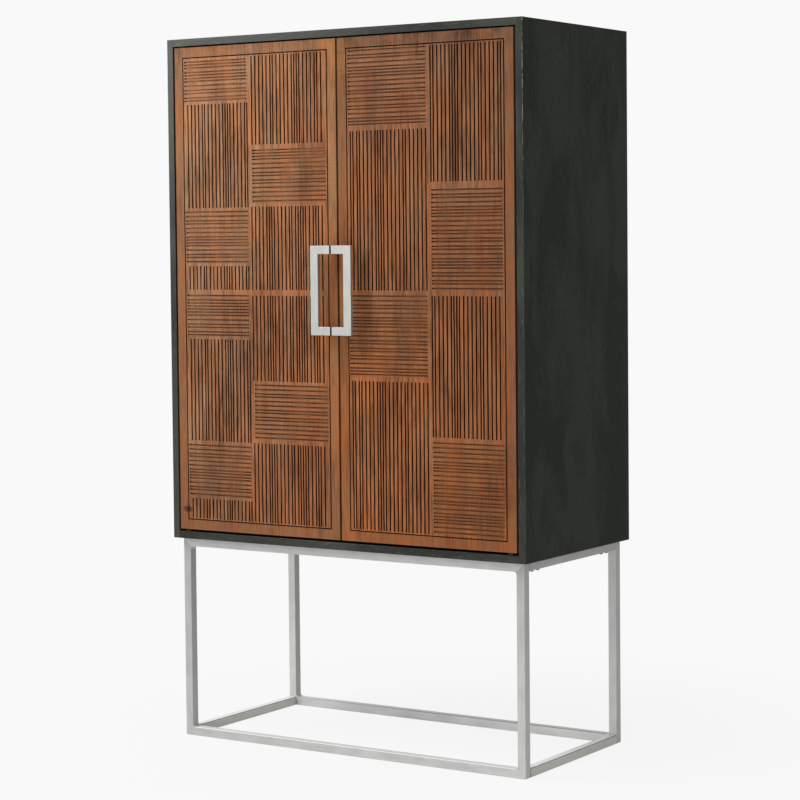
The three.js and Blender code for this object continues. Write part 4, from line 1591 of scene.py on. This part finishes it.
@dataclass
class Door(Assembly):
    """One carved door with its pull, screws, bushes and strike."""

    side: Side

    # The bevel's clamp holds this to less than 0.02 mm, so the slats are nearly sharp.
    slat_arris: float = 0.00055

    edge_arris: float = 0.0012
    round_segments: int = 3
    groove_depths: Ends = (0.0001, 0.0045)
    tilt: float = 0.01
    field_edge: float = 0.01
    bush_bore: float = 0.00425
    strike_arris: float = 0.0003
    pull_bar: float = 0.0215
    pull_arm: float = 0.020
    pull_thickness: float = 0.008
    pull_arris: float = 0.0009
    post_radius: float = 0.0055
    post_from_split: float = 0.015
    post_nose: float = 0.0004
    screw_radius: float = 0.002
    screw_nose: float = 0.0004
    screw_head: float = 0.0029
    screw_rim: float = 0.0015
    screw_crown_share: float = 0.72
    recess_radius: float = 0.0016
    recess_depth: float = 0.0014
    small_steps: int = 32

    @property
    def body(self) -> Body:
        """Body of the door on this side."""
        return Body.LEFT_DOOR if self.side is Side.LEFT else Body.RIGHT_DOOR

    def build(self) -> None:
        """Builds the panel and everything fixed to it."""
        label = self.side.label
        self.panel()
        self.pull()
        for level in Level:
            self.ring(f"{level.value}_pivot_bush_{label}", self.bush_bore)
            self.screw(f"pull_screw_{level.value}_{label}")
        bright = self.finishes.bright
        self.softened(f"catch_strike_{label}", f"strike_plate_{label}", bright, self.strike_arris)

    def panel(self) -> None:
        """Builds the carved panel, with painted shade in its grooves, on its rounded outline and on its slat
        edges, which are barely broken.
        """
        node = f"{self.side.label}_door_panel"
        box = Box(*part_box(node))
        mesh = merged_copy(node)
        outer = [edge for edge in sharp_edges(mesh) if self.on_outline(edge, box)]
        soften(mesh, outer, self.edge_arris, self.round_segments)
        rims = [edge for edge in sharp_edges(mesh) if self.on_front(edge)]
        soften(mesh, rims, self.slat_arris, CHAMFER_SEGMENTS)
        mesh.normal_update()
        shallow, deep = self.groove_depths
        for face in mesh.faces:
            place = face.calc_center_median()
            depth = place.y - DOOR_FRONT
            # Faces in the grooves take the groove colours: partly stain, partly painted shade.
            if shallow < depth < deep and box.depth(place, Axis.X, Axis.Z) > self.field_edge:
                upright = span(face, Axis.Z) > span(face, Axis.X)
                face.material_index = (DoorFace.GROOVE if upright else DoorFace.CROSS_GROOVE).value
            # Tilted front faces, on the rounded outline and the slats' broken edges, take the upright groove
            # colour: painted shade.
            elif depth < self.edge_arris and self.tilt < abs(face.normal.y) < SQUARE_SHARE:
                face.material_index = DoorFace.GROOVE.value
        self.finished(f"{self.side.label}_carved_panel", mesh, self.finishes.doors[self.side], node)

    def on_front(self, edge: Edge) -> bool:
        """Whether an edge lies in the front face of the door."""
        return all(abs(vert.co.y - DOOR_FRONT) < NEAR for vert in edge.verts)

    def on_outline(self, edge: Edge, box: Box) -> bool:
        """Whether an edge is one of the twelve edges of the board.

        Args:
            edge: Edge of the panel.
            box: Box of the board.

        Returns:
            Whether it lies on two of the box's sides.
        """
        sides = 0
        for corner in (box.low, box.high):
            for place, limit in enumerate(corner):
                sides += all(abs(vert.co[place] - limit) < NEAR for vert in edge.verts)
        return sides >= 2

    def pull(self) -> None:
        """Builds the C-shaped pull and its two posts."""
        node = f"{self.side.label}_pull"
        low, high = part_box(node)
        outer, split = (low.x, high.x) if self.side is Side.LEFT else (high.x, low.x)
        inner = outer - self.side.value * self.pull_bar
        back = low.y + self.pull_thickness
        mesh = bmesh.new()
        block(mesh, (min(outer, inner), low.y, low.z), (max(outer, inner), back, high.z))
        for z in (low.z + self.pull_arm, high.z - self.pull_arm):
            everything = [*mesh.verts, *mesh.edges, *mesh.faces]
            bmesh.ops.bisect_plane(mesh, geom=everything, plane_co=(0, 0, z), plane_no=Axis.Z.value)
        ends = [face for face in mesh.faces if abs(face.calc_center_median().x - inner) < NEAR]
        centre = (low.z + high.z) / 2
        for arm in [face for face in ends if abs(face.calc_center_median().z - centre) > self.pull_arm]:
            drawn_out(mesh, arm, Vector((split - inner, 0, 0)))
            bmesh.ops.delete(mesh, geom=[arm], context="FACES_ONLY")
        made_whole(mesh)
        soften(mesh, sharp_edges(mesh), self.pull_arris, self.round_segments)
        # Faces at the split take the dark steel: painted shade.
        for face in mesh.faces:
            at_end = abs(face.calc_center_median().x - split) < self.pull_arris
            face.material_index = (PullFace.END if at_end else PullFace.BAR).value
        length, radius, nose = high.y - back, self.post_radius, self.post_nose
        profile = [(0, 0), (radius, 0), (radius, length - nose), (radius - nose, length), (0, length)]
        x = self.side.value * self.post_from_split
        for z in (low.z + self.pull_arm / 2, high.z - self.pull_arm / 2):
            turned(mesh, profile, Axis.Y, Vector((x, back, z)), self.small_steps)
        self.finished(f"{self.side.label}_bar_pull", mesh, self.finishes.pull, node)

    def screw(self, node: str) -> None:
        """Builds one screw that holds the pull from the door's back, with a round recess in its head.

        Args:
            node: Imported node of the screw.
        """
        box = Box(*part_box(node))
        length, head = box.length(Axis.Y), box.radius(Axis.Y)
        seat, bottom = length - self.screw_head, length - self.recess_depth
        profile = [(0, 0), (self.screw_radius, self.screw_nose), (self.screw_radius, seat), (head, seat)]
        profile += [(head, seat + self.screw_rim), (head * self.screw_crown_share, length)]
        profile += [(self.recess_radius, length), (self.recess_radius / 2, bottom), (0, bottom)]
        self.spun(node, self.finishes.bright, profile, Axis.Y, self.small_steps)


@dataclass(frozen=True)
class PhotoCamera:
    """Camera at the viewing angle of the photograph."""

    place: Point = (3.18796, -4.88087, 1.24824)
    yaw: float = math.radians(-32.9963)
    pitch: float = math.radians(-2.7958)
    roll: float = math.radians(-0.5507)
    focal_pixels: float = 2368.2
    rise_pixels: float = 48.0
    sight: float = 60.0

    def build(self) -> None:
        """Makes the camera and sets it as the scene's."""
        ahead = math.cos(self.pitch)
        forward = Vector((math.sin(self.yaw) * ahead, math.cos(self.yaw) * ahead, math.sin(self.pitch)))
        level = Vector((math.cos(self.yaw), -math.sin(self.yaw), 0))
        upright = level.cross(forward)
        right = level * math.cos(self.roll) + upright * math.sin(self.roll)
        up = upright * math.cos(self.roll) - level * math.sin(self.roll)
        data = bpy.data.cameras.new("photo_camera")
        data.sensor_width = SENSOR_WIDTH
        data.lens = self.focal_pixels / IMAGE_SIDE * SENSOR_WIDTH
        data.shift_y = -self.rise_pixels / IMAGE_SIDE
        data.clip_end = self.sight
        camera = bpy.data.objects.new("photo_camera", data)
        turn = Matrix((right, up, -forward)).transposed().to_4x4()
        camera.matrix_world = Matrix.Translation(self.place) @ turn
        bpy.context.scene.collection.objects.link(camera)
        bpy.context.scene.camera = camera


@dataclass(frozen=True)
class SoftBox:
    """One rectangular studio light."""

    name: str
    place: Point
    aim: Point
    size: Ends
    power: float
    spread: float = math.pi

    def build(self) -> None:
        """Makes the light."""
        data = bpy.data.lights.new(self.name, "AREA")
        data.shape = "RECTANGLE"
        data.size, data.size_y = self.size
        data.energy = self.power
        data.spread = self.spread
        light = bpy.data.objects.new(self.name, data)
        light.location = self.place
        light.rotation_mode = "QUATERNION"
        light.rotation_quaternion = (Vector(self.aim) - Vector(self.place)).to_track_quat("-Z", "Y")
        bpy.context.scene.collection.objects.link(light)


@dataclass(frozen=True)
class Studio:
    """Pale floor, pale surroundings and soft lights."""

    pale: Colour = (0.947, 0.947, 0.947)
    paper: Colour = (0.9, 0.9, 0.9)
    ambient: float = 0.39
    floor_half: float = 30.0
    floor_shade: float = 0.07
    shade_reach: Ends = (0.4, 1.6)
    boxes: tuple[SoftBox, ...] = (
        SoftBox("key_box", place=(-2.4, -2.9, 5.6), aim=(0.0, -0.2, 1.15), size=(3.0, 3.0), power=250),
        SoftBox("left_box", place=(-3.1, -3.0, 2.4), aim=(-0.3, -0.2, 1.3), size=(0.8, 1.7), power=44),
        SoftBox(
            "low_box",
            place=(0.2, -4.6, 0.3),
            aim=(0.1, 0.2, -0.15),
            size=(1.4, 0.4),
            power=1.6,
            spread=math.radians(34),
        ),
    )

    def build(self) -> None:
        """Builds the floor, the world and the lights."""
        self.floor()
        self.world()
        for box in self.boxes:
            box.build()

    def floor(self) -> None:
        """Makes the floor, which is pale to the camera and keeps the object's shadow."""
        mesh = bmesh.new()
        bmesh.ops.create_grid(mesh, x_segments=1, y_segments=1, size=self.floor_half)
        data = bpy.data.meshes.new("studio_floor")
        mesh.to_mesh(data)
        mesh.free()
        floor = bpy.data.objects.new("studio_floor", data)
        bpy.context.scene.collection.objects.link(floor)
        graph = NodeGraph(bpy.data.materials.new("studio_floor"))
        paper = graph.add("ShaderNodeBsdfDiffuse", {"Color": self.paper})
        glow = graph.add("ShaderNodeEmission", {"Color": self.pale})
        distance = graph.add("ShaderNodeVectorMath", {0: graph.coords}, operation="LENGTH").outputs["Value"]
        share = graph.spread(distance, *self.shade_reach, 1 - self.floor_shade)
        graph.show_mix(graph.calc("MULTIPLY", graph.seen_directly(), share), paper, glow)
        data.materials.append(graph.owner)

    def world(self) -> None:
        """Makes the surroundings: pale to the eye, and a plain even light on the object."""
        graph = NodeGraph(bpy.data.worlds.new("studio_world"))
        light = graph.add("ShaderNodeBackground", {"Color": WHITE, "Strength": self.ambient})
        seen = graph.add("ShaderNodeBackground", {"Color": self.pale})
        graph.show_mix(graph.seen_directly(), light, seen)
        bpy.context.scene.world = graph.owner


def main() -> None:
    """Builds the whole scene in order."""
    logging.basicConfig(level=logging.INFO, format="%(name)s: %(message)s")
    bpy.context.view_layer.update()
    bpy.context.scene.view_settings.view_transform = "Standard"
    PhotoCamera().build()
    Studio().build()
    finishes = Finishes()
    SteelBase(finishes).build()
    Carcase(finishes).build()
    for side in Side:
        Door(finishes, side).build()


if __name__ == "__main__":
    main()
